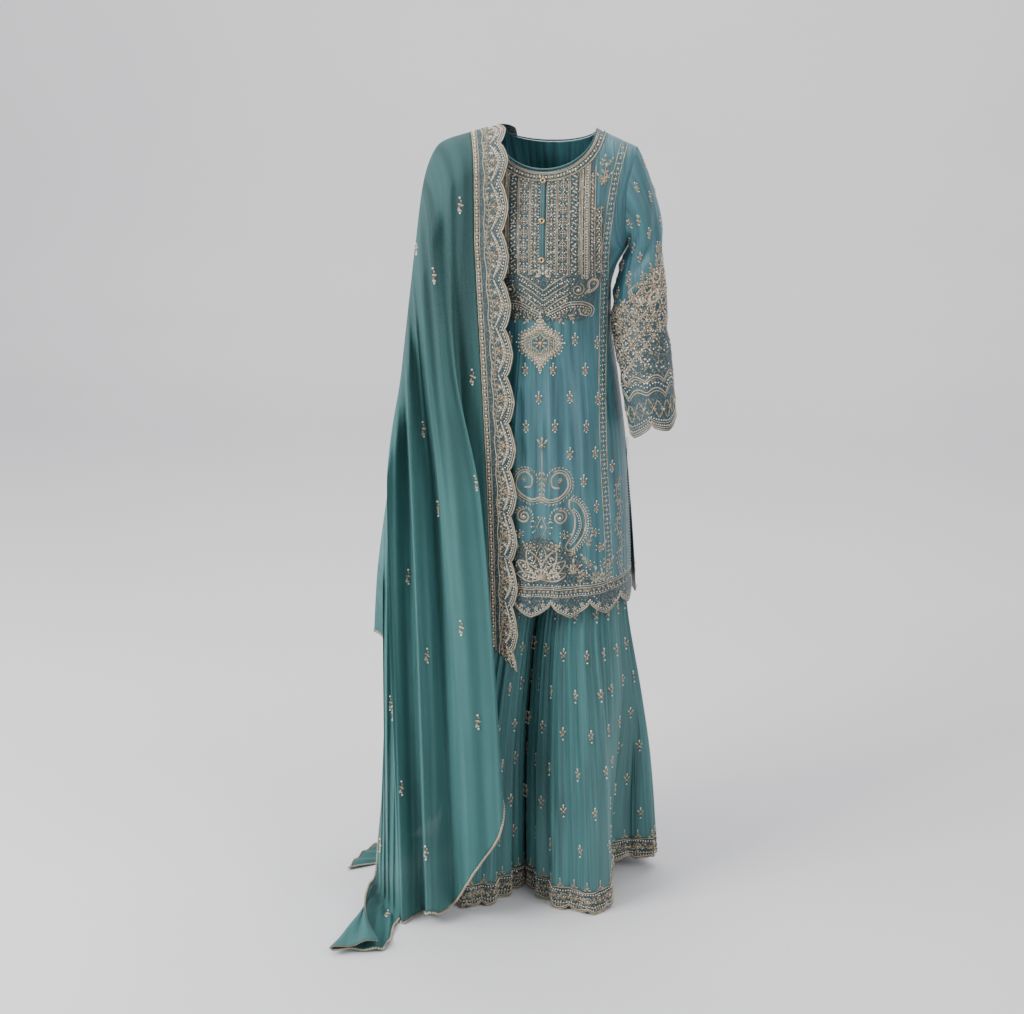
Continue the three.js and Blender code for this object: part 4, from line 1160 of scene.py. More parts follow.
def pearls(pen, points, radius, slot="pearl"):
    stampAll(pen, "pearl", slot, points, (radius, radius, radius))


def pearlRow(pen, line, pitch, radius, slot="pearl"):
    pearls(pen, evenly(line, pitch)[0], radius, slot)


def thread(pen, slot, points, width=1.6, height=0.9):
    a, b = spots(pen, points)
    pen["work"]["threads"].append((slot, a, b, width * pen["size"], height * pen["size"]))


def curve(points, steps=5):
    # a smooth line through given points
    points = np.asarray(points, float)
    ends = np.concatenate([[2 * points[0] - points[1]], points, [2 * points[-1] - points[-2]]])
    t = np.linspace(0, 1, steps, endpoint=False)[:, None]
    parts = []
    for i in range(1, len(ends) - 2):
        p0, p1, p2, p3 = ends[i - 1:i + 3]
        parts.append(0.5 * (2 * p1 + (p2 - p0) * t + (2 * p0 - 5 * p1 + 4 * p2 - p3) * t * t
                            + (3 * p1 - p0 - 3 * p2 + p3) * t ** 3))
    return np.concatenate(parts + [points[-1:]])


def unit(turn):
    return np.array([math.cos(math.radians(turn)), math.sin(math.radians(turn))])


def onLine(points, walk, at):
    return pair(np.interp(at, walk, points[:, 0]), np.interp(at, walk, points[:, 1]))


def evenly(points, pitch, start=0.5):
    # places at an even pitch along a line, with the heading of the line there in degrees
    points = np.asarray(points, float)
    walk = np.concatenate([[0], np.cumsum(np.hypot(*np.diff(points, axis=0).T))])
    count = max(1, int(walk[-1] / pitch))
    at = (np.arange(count) + start) * walk[-1] / count
    ahead = onLine(points, walk, at + 0.5) - onLine(points, walk, at - 0.5)
    return onLine(points, walk, at), np.degrees(np.arctan2(*ahead.T[::-1]))


def beside(points, off):
    # the same line, moved sideways
    points = np.asarray(points, float)
    along = np.gradient(points, axis=0)
    along = along / (np.hypot(along[:, 0], along[:, 1])[:, None] + 1e-9)
    return points + off * pair(-along[:, 1], along[:, 0])


def rounded(u, v, radius, count=24, start=0.0, sweep=360.0):
    turns = np.radians(np.linspace(start, start + sweep, count + 1))
    return pair(u + radius * np.cos(turns), v + radius * np.sin(turns))


def bloom(pen, u, v, radius, petals=6, slot="goldPetal", heart="peachStone", start=0.0):
    turns = start + np.arange(petals) * 360.0 / petals
    at = (u, v) + 0.62 * radius * pair(np.cos(np.radians(turns)), np.sin(np.radians(turns)))
    size = (0.42 * radius, min(0.24, 1.3 / petals) * radius, 0.16 * radius + 0.5)
    stampAll(pen, "petal", slot, at, size, turns)
    pearls(pen, [(u, v)], 0.24 * radius + 0.3, heart)


def leafRow(pen, line, pitch, size, lean, slot="goldPetal", off=0.0):
    at, heading = evenly(line, pitch)
    out = np.radians(heading + 90.0)
    at = at + off * pair(np.cos(out), np.sin(out))
    stampAll(pen, "petal", slot, at, size, heading + lean)


def leafPair(pen, line, pitch, size, lean, slot="goldPetal", off=0.0):
    # a row on either side of the line
    for hand in (1, -1):
        leafRow(pen, line, pitch, size, hand * lean, slot, hand * off)


def scroll(pen, u, v, radius, turns=1.6, start=0.0, hand=1.0, width=1.8, beads=True):
    t = np.linspace(0, 1, int(22 * turns) + 2)
    angle = math.radians(start) + hand * 2 * math.pi * turns * t
    reach = radius * (1 - 0.84 * t)
    line = pair(u + reach * np.cos(angle), v + reach * np.sin(angle))
    thread(pen, "goldThread", line, width, 1.0)
    if beads:
        at, _ = evenly(line[:22], 3.4)
        away = at - np.array([u, v])
        pearls(pen, at + away / np.hypot(*away.T)[:, None] * 2.6, 0.95, "greySeed")
    pearls(pen, [(u, v)], 0.13 * radius + 0.5)
    return line


paisleyLine = [(0.85, 1.95), (0.45, 1.85), (0.5, 1.4), (0.95, 0.75), (1.05, 0.0), (0.72, -0.75), (0.0, -1.05),
               (-0.72, -0.78), (-1.02, 0.0), (-0.85, 0.85), (-0.35, 1.6), (0.25, 2.1), (0.85, 1.95)]


def moved(points, u, v, turn=0.0, size=1.0, hand=1.0):
    points = np.asarray(points, float) * np.array([hand * size, size])
    cosine, sine = math.cos(math.radians(turn)), math.sin(math.radians(turn))
    return pair(u + points[:, 0] * cosine - points[:, 1] * sine,
                v + points[:, 0] * sine + points[:, 1] * cosine)


def paisley(pen, u, v, radius, turn=0.0, hand=1.0):
    outline = curve(paisleyLine, 4)
    thread(pen, "goldThread", moved(outline, u, v, turn, radius, hand), 2.0, 1.1)
    thread(pen, "beigeThread", moved(outline * 0.72, u, v, turn, radius, hand), 1.4, 0.8)
    at, _ = evenly(moved(outline * 0.86, u, v, turn, radius, hand), 3.2)
    pearls(pen, at, 0.9)
    bloom(pen, u, v, 0.42 * radius)
    at, _ = evenly(moved(outline * 1.16, u, v, turn, radius, hand), 4.2)
    pearls(pen, at, 0.85, "greySeed")


def buti(pen, petals=6):
    bloom(pen, 0, 0, 5.6, petals, "goldPetal", "peachStone", 90.0)
    leaves = [(0, 7.6), (-3.4, -5.4), (3.4, -5.4)]
    stampAll(pen, "petal", "beigePetal", leaves, (2.7, 1.4, 1.1), [90, 225, -45])
    pearls(pen, [(0, 11.6), (0, -9.0), (-4.6, 4.6), (4.6, 4.6)], 1.4)


def sprig(pen, u, v, turn, length, leaves=3):
    line = np.array([u, v]) + unit(turn) * np.linspace(0, length, 5)[:, None]
    thread(pen, "goldThread", line, 1.1, 0.7)
    leafPair(pen, line[:-1], length / leaves, (0.19 * length, 0.085 * length, 1.0), 42.0, off=0.13 * length)
    stampAll(pen, "petal", "beigePetal", [line[-1]], (0.18 * length, 0.1 * length, 1.1), turn)


def sprigs(pen, rows):
    for row in rows:
        sprig(pen, *row)


def sprigsRound(pen, turns, length):
    # small sprigs that leave a flower's rim
    for turn in turns:
        sprig(pen, *(6.5 * unit(turn)), turn, length, 2)


def seeds(pen, low, high, pitch, inside, seed, slots=("greySeed", "goldPetal", "pearl"), size=1.25):
    # a filling of small beads on an uneven grid, wherever inside says so
    chance = np.random.default_rng(seed)
    across = np.arange(low[0], high[0], pitch)
    up = np.arange(low[1], high[1], pitch * 0.87)
    u, v = np.meshgrid(across, up)
    u = (u + (np.arange(len(up)) % 2)[:, None] * pitch / 2).ravel()
    v = v.ravel()
    u = u + chance.uniform(-0.25, 0.25, u.shape) * pitch
    v = v + chance.uniform(-0.25, 0.25, v.shape) * pitch
    keep = inside(u, v)
    u, v = u[keep], v[keep]
    which = chance.choice(len(slots), u.shape, p=(0.66, 0.22, 0.12))
    for k, slot in enumerate(slots):
        some = which == k
        if some.any():
            stampAll(pen, "seed", slot, pair(u[some], v[some]), (size, size, 0.8 * size))


def sew(name, work):
    # all of one garment's needlework as one mesh
    slots = sorted({key[1] for key in work["stamps"]} | {row[0] for row in work["threads"]})
    places, faces, kinds, maps = [], [], [], []
    total = 0
    for (kind, slot), parts in sorted(work["stamps"].items()):
        rows = np.concatenate(parts)
        shape, corners = stampShapes[kind]
        here, first, second, out = framesAt(work, rows[:, 0], rows[:, 1])
        cosine, sine = np.cos(rows[:, 2:3]), np.sin(rows[:, 2:3])
        x = shape[:, 0] * rows[:, 3:4]
        y = shape[:, 1] * rows[:, 4:5]
        z = shape[:, 2] * rows[:, 5:6] + 0.15
        u, v = x * cosine - y * sine, x * sine + y * cosine
        placed = (here[:, None] + first[:, None] * u[..., None] + second[:, None] * v[..., None]
                  + out[:, None] * z[..., None])
        turned = corners if work["facing"] > 0 else corners[:, ::-1]
        index = np.arange(len(rows))[:, None, None] * len(shape) + turned + total
        places.append(placed.reshape(-1, 3))
        faces.append(index.reshape(-1, 3))
        kinds.append(np.full(index.shape[0] * index.shape[1], slots.index(slot)))
        maps.append(pair(x, y).reshape(-1, 2))
        total += placed.shape[0] * placed.shape[1]
    if work["threads"]:
        a, b = (np.concatenate([row[k] for row in work["threads"]]) for k in (1, 2))
        here, _, _, out = framesAt(work, a, b)
        first = 0
        for slot, across, _, width, height in work["threads"]:
            count = len(across)
            line, up = here[first:first + count], out[first:first + count]
            first += count
            ahead = np.gradient(line, axis=0)
            side = np.cross(up, ahead)
            side = side / (np.linalg.norm(side, axis=-1, keepdims=True) + 1e-9)
            along, across, corners = stripShape(count)
            raised = np.where(across == 0, height + 0.15, 0.05)
            placed = line[along] + side[along] * (across * width / 2)[:, None] + up[along] * raised[:, None]
            places.append(placed)
            faces.append(corners + total)
            kinds.append(np.full(len(corners), slots.index(slot)))
            maps.append(pair(walkOf(line)[along], across * width / 2))
            total += count * 3
    places, faces, kinds = np.concatenate(places), np.concatenate(faces), np.concatenate(kinds)
    maps = np.concatenate(maps)
    mesh = bpy.data.meshes.new(name)
    mesh.vertices.add(len(places))
    mesh.vertices.foreach_set("co", (places * millimetre).ravel())
    mesh.loops.add(faces.size)
    mesh.loops.foreach_set("vertex_index", faces.ravel().astype(np.int32))
    mesh.polygons.add(len(faces))
    mesh.polygons.foreach_set("loop_start", np.arange(0, faces.size, 3, dtype=np.int32))
    mesh.polygons.foreach_set("material_index", kinds.astype(np.int32))
    mesh.uv_layers.new(name="cloth")
    mesh.uv_layers["cloth"].data.foreach_set("uv", (maps[faces.ravel()] * millimetre).ravel())
    mesh.update(calc_edges=True)
    mesh.validate()
    obj = finish(name, mesh, [trims[slot] for slot in slots])
    print(name, "sewn,", len(faces), "faces")


# The kurta's needlework, laid by x and z on its front and back.

def kurtaOn(facing):
    def at(x, z):
        slit, wider = sideSlit(z, facing)
        share = np.clip(np.abs(x) / (wider * readTable(kurtaForm, "reach", z)), 0, 1)
        u = np.arcsin(share ** (kurta["fullness"] / 2)) / (math.pi / 2)
        y = kurtaDepth(x / wider, z, facing) + facing * 3.0 * slit * u ** 6
        return np.stack([x + 0 * z, y, z + 0 * x], -1)

    return at


def hemLine(panelAt, off, count=240):
    # the panel's hem in x and z, moved up by off
    placed = panelAt(np.linspace(0.0, 1.0, count), np.zeros(count))
    return pair(placed[:, 0], placed[:, 2] + off)


def smoothHem(panelAt, off, count=200):
    # the same without its scallops
    placed = panelAt(np.linspace(0.012, 0.988, count), np.zeros(count))
    lift = 10.0 * (np.abs(placed[:, 0]) / 158.0) ** 3
    return pair(placed[:, 0], kurta["hem"] + lift + off)


kurtaButis = [
    (57, -363), (94, -373), (-31, -417), (19, -416), (75, -418), (-6, -467), (49, -467), (97, -473),
    (-29, -520), (23, -518), (78, -520), (50, -569), (94, -570), (123, -600), (75, -618), (97, -670),
    (-62, -467), (-84, -416), (-84, -520), (-60, -363), (-100, -373), (-104, -473), (-52, -569),
    (-100, -570), (-78, -618), (-98, -670),
]
princessLine = [
    (136, -24), (131, -50), (124, -84), (116, -140), (109, -205), (104, -300), (104, -420), (108, -560),
    (115, -680), (121, -773), (124, -822),
]


def neckRun(drop, off, low=-86.0, high=86.0, count=64):
    turns = np.radians(np.linspace(low, high, count))
    return pair((kurta["neckHalf"] + off) * np.sin(turns), -(drop + off) * np.cos(turns))


def sewNeck(pen, drop):
    for off, slot, width in ((3.4, "goldThread", 1.6), (5.6, "beigeThread", 1.2), (16.6, "goldThread", 1.8)):
        thread(pen, slot, neckRun(drop, off), width, 0.9)
    at, heading = evenly(neckRun(drop, 11.0), 10.4)
    stampAll(pen, "petal", "goldPetal", at, (3.4, 1.7, 1.2), heading + 32)
    stampAll(pen, "petal", "goldPetal", at + (0, 1.2), (3.0, 1.3, 1.0), heading - 38)
    pearls(pen, evenly(neckRun(drop, 11.0), 10.4, 1.0)[0], 1.7)
    pearlRow(pen, neckRun(drop, 18.8), 4.6, 0.95, "greySeed")
    pearlRow(pen, neckRun(drop, 7.6), 5.2, 0.8, "greySeed")


def sewPlastron(pen):
    middle = plastron["centre"]
    for hand in (1.0, -1.0):
        side = dict(pen, a=middle, hand=hand)

        def upright(across, low=plastron["low"], off=plastron["top"]):
            top = float(neckEdge(np.array(across + 2.0), off))
            return np.array([(across, top - (top - low) * t) for t in np.linspace(0, 1, 26)])

        for across in plastron["columns"]:
            thread(side, "goldThread", upright(across), 1.4, 0.8)
        blossoms, _ = evenly(upright(14.0), 15.5)
        for u, v in blossoms:
            bloom(side, u, v, 5.2, 5, "goldPetal", "pearl", 90.0)
        stampAll(side, "petal", "beigePetal", blossoms[:-1] - (0, 7.7), (2.4, 1.3, 1.0), 90)
        for across in (8.2, 19.8):
            pearlRow(side, upright(across), 5.1, 1.0)
        diamonds, _ = evenly(upright(34.0), 19.0)
        for u, v in diamonds:
            square = moved([(0, 1), (1, 0), (0, -1), (-1, 0), (0, 1)], u, v, 0, 7.6)
            thread(side, "goldThread", square, 1.3, 0.8)
            stampAll(side, "bar", "peachStone", [(u, v)], (2.0, 2.0, 1.4), 45)
            pearls(side, moved([(0, 0.5), (0.5, 0), (0, -0.5), (-0.5, 0)], u, v, 0, 7.6), 0.9)
        pearls(side, np.concatenate([diamonds + (off, 9.5) for off in (6.4, -6.4, 0)]), 1.15)
        bars, _ = evenly(upright(54.0), 6.6)
        stampAll(side, "bar", "beigePetal", bars[::2], (5.6, 1.5, 1.1), -28)
        pearls(side, bars[1::2] + (-4.0, 1.0), 1.25)
        pearls(side, bars[1::2] + (2.2, -2.0), 1.25)
        for across, slot in ((67.4, "beigeThread"), (72.0, "goldThread"), (77.0, "beigeThread")):
            thread(side, slot, upright(across, -254), 1.8, 0.8)
        pearlRow(side, upright(74.5, -256), 4.4, 1.2)
        leafRow(side, upright(84.5, -252)[3:], 6.4, (2.9, 1.5, 1.2), 30, "peachPetal")
        thread(side, "goldThread", upright(89.0, -250)[2:], 1.3, 0.8)
        outer = np.array([(96.0, z) for z in np.linspace(-128, -244, 20)])
        thread(side, "goldThread", outer + (4, 0), 1.2, 0.7)
        leafPair(side, outer, 9.0, (4.0, 1.6, 1.1), 40, off=2.2)
        pearlRow(side, outer - (0, 4.5), 9.0, 1.4)
        pearlRow(side, outer + (7, 0), 5.0, 0.95, "greySeed")
        paisley(side, 86, -264, 8.6, 160, 1.0)
        scroll(side, 60, -273, 11.5, 1.7, 70, -1.0)
        leafRow(side, rounded(60, -273, 14.5, 20, 190, 150), 5.6, (2.6, 1.2, 1.0), 25, "beigePetal")
        for k in range(5):
            drop = -252.0 - 9.0 * k
            line = [(0.0, drop - 22), (12, drop - 13), (26, drop - 3), (44, drop + 7)]
            slot = "goldThread" if k % 2 == 0 else "beigeThread"
            if k in (1, 3):
                pearlRow(side, curve(line), 4.8, 1.2)
            else:
                thread(side, slot, curve(line), 1.8, 0.9)
        teeth, _ = evenly([(2, -314), (44, -286)], 6.2)
        stampAll(side, "petal", "beigePetal", teeth, (3.0, 1.4, 1.2), -62)
        arm = curve([(8, -318), (24, -310), (44, -300), (66, -300), (82, -309), (78, -321), (66, -318),
                     (62, -308)])
        thread(side, "goldThread", arm, 2.2, 1.1)
        thread(side, "beigeThread", beside(arm[:26], 4.4), 1.4, 0.8)
        pearlRow(side, beside(arm[:30], -4.2), 4.6, 1.1)
        leafRow(side, beside(arm[:26], -9.0), 7.2, (3.6, 1.6, 1.2), 70)
        bloom(side, 72, -313, 5.0)
        bloom(side, 38, -292, 4.6, 5, "goldPetal", "pearl")
        sprig(side, 22, -322, -40, 17)
        sprig(side, 48, -316, -75, 16)
    for u, v, turn in ((-6, -240, 120), (6, -240, 60), (0, -233, 90), (-9, -248, 190), (9, -248, -10)):
        stampAll(pen, "petal", "peachPetal", [(middle + u, v)], (5.2, 2.4, 1.5), turn)
    pearls(pen, [(middle, -243)], 2.0)


def sewMedallion(pen):
    # a leafy diamond round a flower
    u, v = -4.0, -368.0
    corners = np.array([(0, 44), (12, 26), (33, 14), (34, 0), (33, -14), (12, -28), (0, -46)], float)
    for hand in (1.0, -1.0):
        side = curve(corners * (hand, 1.0), 6)
        for share, slot, size, lean in (
                (1.0, "goldPetal", (4.6, 2.0, 1.4), 50), (0.8, "beigePetal", (4.0, 1.8, 1.3), 40),
                (0.58, "goldPetal", (3.8, 1.7, 1.3), 50)):
            leafRow(pen, side * share + (u, v), 5.0, size, lean * hand, slot)
        pearlRow(pen, side * 0.9 + (u, v), 5.4, 1.25)
        pearlRow(pen, side * 1.13 + (u, v), 7.0, 1.25)
        thread(pen, "goldThread", side * 0.69 + (u, v), 1.6, 1.2)
        thread(pen, "beigeThread", side * 0.45 + (u, v), 1.4, 1.2)
    bloom(pen, u, v, 13.0, 8, "goldPetal", "peachStone")
    bloom(pen, u, v + 27, 6.0, 6, "beigePetal", "pearl")
    bloom(pen, u, v - 28, 6.0, 6, "beigePetal", "pearl")
    for k in range(4):
        turn = k * 90.0 + 90.0
        reach = 50.0 if k % 2 == 0 else 40.0
        way = unit(turn)
        stampAll(pen, "petal", "goldPetal", [way * (reach - 4) + (u, v)], (5.2, 2.4, 1.5), turn)
        pearls(pen, [way * (reach + 3) + (u, v)], 1.6)


def sewHemMotif(pen):
    bloom(pen, 0, -552, 7.5, 6, "goldPetal", "peachStone", 30.0)
    stampAll(pen, "petal", "beigePetal", [(0, -541), (-7, -545), (7, -545)], (4.0, 1.9, 1.3), [90, 130, 50])
    stem = [(0, -562), (0, -600), (0, -658)]
    thread(pen, "goldThread", curve(stem, 12))
    leafPair(pen, np.array(stem[1:]), 9.5, (4.2, 1.8, 1.2), 42, off=4.0)
    for hand in (1.0, -1.0):
        side = dict(pen, hand=hand)
        loop = curve([(2, -648), (16, -652), (34, -646), (47, -630), (44, -610), (30, -602), (18, -612),
                      (20, -628), (32, -630)])
        thread(side, "goldThread", loop, 3.2, 1.3)
        thread(side, "beigeThread", beside(loop[:28], -4.2), 1.3, 0.8)
        leafRow(side, beside(loop[:34], -9.0), 6.6, (3.2, 1.4, 1.1), 28)
        bloom(side, 33, -616, 5.4)
        scroll(side, 33, -684, 13.5, 1.8, 100, -1.0, 3.0)
        leafRow(side, rounded(33, -684, 17.0, 22, 10, 210), 6.0, (3.0, 1.3, 1.1), 30, "beigePetal")
        body = [(50, -652), (66, -660), (78, -682), (79, -706), (70, -728), (52, -748), (44, -738),
                (54, -722), (60, -702), (59, -682), (50, -668), (50, -652)]
        thread(side, "goldThread", curve(body), 3.2, 1.3)
        inner = curve([(57, -668), (67, -680), (71, -702), (64, -722), (52, -738)])
        thread(side, "beigeThread", inner, 1.4, 0.8)
        pearlRow(side, beside(inner, -3.4), 4.4, 1.15)
        pearlRow(side, beside(curve(body[:6]), 4.0), 4.6, 1.2)
        leafRow(side, beside(curve(body[:6]), 8.0), 6.4, (3.2, 1.4, 1.1), 40)
        bloom(side, 56, -753, 6.0)
        sprigs(side, ((58, -790, 90, 24), (58, -790, 50, 18), (58, -790, 130, 18), (98, -808, 90, 26),
                      (98, -808, 52, 18), (98, -808, 128, 18), (84, -740, 75, 20), (26, -745, 60, 16)))
        for u, v, radius in ((88, -775, 5.4), (76, -792, 5.0), (112, -775, 5.0), (104, -745, 5.0),
                             (118, -800, 5.4), (20, -738, 4.6), (40, -716, 4.4), (96, -716, 4.4)):
            bloom(side, u, v, radius)
            pearls(side, rounded(u, v, radius + 2.4, 6, 30.0)[:-1], 1.1)
        sprigs(side, ((112, -808, 100, 22), (70, -808, 96, 20), (104, -752, 60, 20), (96, -722, 110, 16),
                      (118, -786, 60, 20), (84, -770, 130, 18), (40, -722, 20, 14), (18, -745, 150, 12)))
        for turn, reach in ((90, 62.0), (64, 60.0), (38, 55.0), (12, 46.0)):
            leaf = [(0, 0), (0.34, 0.16), (0.72, 0.15), (1, 0), (0.72, -0.15), (0.34, -0.16), (0, 0)]
            fan = moved(leaf, 0, -800, turn, reach)
            thread(side, "goldThread", curve(fan, 3), 2.6, 1.2)
            spine = moved([(0.22, 0), (0.8, 0)], 0, -800, turn, reach)
            pearlRow(side, spine, 5.2, 1.5)
            leafPair(side, spine, 7.4, (3.1, 1.5, 1.2), 36, "beigePetal", 3.0)
        thread(side, "beigeThread", rounded(0, -800, 16.0, 14, -10, 100))
        for k in range(4):
            turn = 70.0 - 34.0 * k
            at = moved([(1, 0), (1.45, 0)], 0, -703, turn, 13.0)
            thread(side, "goldThread", at, 1.3, 0.8)
            pearls(side, at[1:], 1.3)
        vine = curve([(137, -622), (131, -650), (139, -680), (133, -712), (142, -742), (137, -772),
                      (144, -804)])
        thread(side, "goldThread", vine, 1.3, 0.8)
        leafPair(side, vine, 9.0, (3.6, 1.5, 1.1), 48, off=3.4)
        for u, v in evenly(vine, 30.0)[0]:
            bloom(side, u, v, 4.4, 5, "beigePetal", "peachStone")
    diamond = np.array([(0, -684), (9, -703), (0, -722), (-9, -703), (0, -684)], float)
    thread(pen, "goldThread", diamond)
    stampAll(pen, "bar", "peachStone", [(0, -703)], (3.2, 3.2, 1.8), 45)


def sewKurtaHem(pen, panelAt):
    for off, slot, width in ((3.0, "goldThread", 2.2), (6.4, "beigeThread", 1.4)):
        thread(pen, slot, hemLine(panelAt, off), width, 1.1)
    pearlRow(pen, hemLine(panelAt, 9.4), 5.2, 1.15)
    for off, slot, width in (
            (13.0, "goldThread", 1.5), (27.0, "goldThread", 1.8), (31.0, "beigeThread", 1.3)):
        thread(pen, slot, smoothHem(panelAt, off), width, 0.9)
    pearlRow(pen, smoothHem(panelAt, 16.6), 5.0, 1.2)
    pearlRow(pen, smoothHem(panelAt, 35.0), 7.0, 1.1)
    leafPair(pen, smoothHem(panelAt, 21.8), 8.2, (3.6, 1.6, 1.1), 40)
    for u, v in evenly(hemLine(panelAt, 0), 14.5)[0]:
        if v < kurta["hem"] - 12:
            bloom(pen, u, v + 15.0, 4.6, 5, "beigePetal", "peachStone", 90.0)


def sewPrincess(pen, line):
    for off in (5.6, -5.6):
        thread(pen, "goldThread", beside(line, off), 1.4, 0.8)
    for u, v in evenly(line, 17.0)[0]:
        bloom(pen, u, v, 4.2, 5, "goldPetal", "pearl", 90.0)
    at, _ = evenly(line, 17.0, 1.0)
    stampAll(pen, "petal", "beigePetal", at, (3.0, 1.3, 1.1), 90)
    pearls(pen, np.concatenate([at + (3.4, 0), at - (3.4, 0)]), 0.95)


kurtaWork = canvas(kurtaOn(-1), 1)
pen = flatPen(kurtaWork)
sewNeck(pen, kurta["neckDropFront"])
sewPlastron(pen)
sewMedallion(pen)
sewHemMotif(pen)
sewKurtaHem(pen, frontAt)
for hand in (1.0, -1.0):
    bunch = dict(pen, hand=hand)
    sewPrincess(bunch, curve(princessLine, 10))
    sprigs(bunch, ((104, -84, 80, 26), (104, -84, 40, 18), (106, -88, 130, 18), (100, -60, 70, 18),
                   (112, -60, 60, 14)))
    bloom(bunch, 104, -86, 7.0)
    edge = curve([(149, -560), (151, -680), (155, -800)], 30)
    pearlRow(bunch, edge, 5.4, 1.2)
    thread(bunch, "goldThread", edge - (3.4, 0), 1.3, 0.8)
for x, z in kurtaButis:
    buti(penAt(kurtaWork, x, z, 0.0, 1.0))
seeds(pen, (-104, -330), (106, -60), 5.2, onPlastron, 11)
seeds(pen, (-84, -328), (84, -262), 5.4, lambda u, v: (v > -324) & (np.abs(u) < 70) & (v < -286), 12)
seeds(pen, (-150, -852), (150, -600), 6.4, nearHemMotif, 13)
sew("kurtaFrontWork", kurtaWork)

backWork = canvas(kurtaOn(1), -1)
pen = flatPen(backWork)
thread(pen, "goldThread", neckRun(kurta["neckDropBack"], 3.4))
thread(pen, "goldThread", neckRun(kurta["neckDropBack"], 14.0))
pearlRow(pen, neckRun(kurta["neckDropBack"], 8.8), 7.0, 1.5)
sewKurtaHem(pen, backAt)
for row, z in enumerate(range(-110, -800, -52)):
    for x in range(-100 + 25 * (row % 2), 125, 50):
        if abs(x) < 108:
            buti(penAt(backWork, x, z, 0.0, 0.86))
sew("kurtaBackWork", backWork)
print("kurta needlework ready")


# The sleeves' needlework, by degrees round each sleeve, where 90 faces forward, and millimetres down it.

cuff = sleeve["length"]


def arches(turn, off):
    return pair(turn, cuff - off - 9.0 * np.abs(np.sin(np.radians(turn * 4))))


for side in ("left", "right"):
    def sleeveOn(turn, down, side=side):
        return sleevePoint(side, np.radians(turn), down / cuff)

    work = canvas(sleeveOn, 1 if side == "left" else -1, (0.8, 0.8))
    pen = flatPen(work)
    circle = np.linspace(0, 360, 145)
    for off, slot, width in ((2.2, "goldThread", 2.0), (5.4, "beigeThread", 1.3), (12.5, "goldThread", 1.4)):
        thread(pen, slot, pair(circle, cuff - off), width, 1.0)
    for off, count in ((8.6, 74), (16.0, 62)):
        pearls(pen, pair(np.arange(count) * 360.0 / count, cuff - off), 1.15)
    for off, slot in (
            (46.0, "goldThread"), (50.0, "beigeThread"), (64.0, "goldThread"), (67.5, "beigeThread")):
        thread(pen, slot, arches(circle, off))
    pearls(pen, arches(np.arange(58) * 360.0 / 58, 57), 1.35)
    for k in range(16):
        spot = penAt(work, k * 22.5 + 11, cuff - 31.0, 180.0)
        bloom(spot, 0, 0, 6.0, 6, "goldPetal", "peachStone" if k % 2 else "pearl")
        sprigsRound(spot, (60, 120, 240, 300), 9.0)
    for off in range(0, 360, 60):
        turn = off + 26.0
        spot = penAt(work, turn, float(sleeveTop(turn)) + 36.0, 180.0, 1.0, 1.0 if off % 120 else -1.0)
        scroll(spot, 0, 0, 13.0, 1.7, 60, 1.0, 2.2)
        leafRow(spot, rounded(0, 0, 17.0, 22, -40, 220), 6.0, (3.0, 1.3, 1.1), 30, "beigePetal")
        paisley(spot, 24, -2, 8.5, -20, 1.0)
        sweep = curve([(-12, 8), (-18, 22), (-8, 34), (8, 36), (14, 28)])
        thread(spot, "goldThread", sweep, 2.0, 1.0)
        leafRow(spot, sweep, 6.6, (3.4, 1.4, 1.1), 34, "goldPetal", -3.4)
        sprigs(spot, ((-4, -20, 250, 18), (10, -22, 290, 18), (22, -22, 270, 20), (36, 12, 70, 18),
                      (24, 18, 95, 20), (-22, -6, 215, 16), (4, 40, 90, 16), (-16, 34, 130, 14)))
    for k in range(18):
        for row in range(5):
            turn = k * 20.0 + 10.0 * (row % 2)
            down = float(sleeveTop(turn)) + 16.0 + 28.0 * row
            if down < cuff - 76:
                spot = penAt(work, turn, down, 180.0)
                bloom(spot, 0, 0, 6.0, 6, "goldPetal" if row % 2 else "beigePetal", "peachStone")
                pearls(spot, rounded(0, 0, 8.6, 7)[:-1], 1.2)
                sprigsRound(spot, (50, 130, 230, 310), 10.0)
    for row, down in enumerate(range(60, 250, 34)):
        for k in range(7):
            turn = k * 51.4 + 25.7 * (row % 2) + 12.0
            if down < float(sleeveTop(turn)) - 14:
                buti(penAt(work, turn, down, 180.0, 0.86))
    chance = np.random.default_rng(31)
    count = 2400
    turn = chance.uniform(0, 360, count)
    down = sleeveTop(turn) + 4 + chance.uniform(0, 1, count) * (cuff - 68 - sleeveTop(turn))
    some = pair(turn, down)
    stampAll(pen, "seed", "greySeed", some[:1300], (1.6, 1.6, 1.1))
    stampAll(pen, "seed", "goldPetal", some[1300:2050], (1.9, 1.6, 1.1))
    stampAll(pen, "seed", "pearl", some[2050:], (1.6, 1.6, 1.2))
    sew("sleeve" + side.capitalize() + "Work", work)
print("sleeve needlework ready")


# The gharara's needlework, by degrees round each leg, where -90 faces forward, and by height.

def smallButi(pen):
    bloom(pen, 0, 0, 4.4, 4, "goldPetal", "peachStone", 45.0)
    stampAll(pen, "petal", "beigePetal", [(0, 6.4), (-3.2, 3.6), (3.2, 3.6)], (2.2, 1.2, 1.0), [90, 130, 50])
    pearls(pen, [(0, -7.2), (0, 9.4)], 1.25)


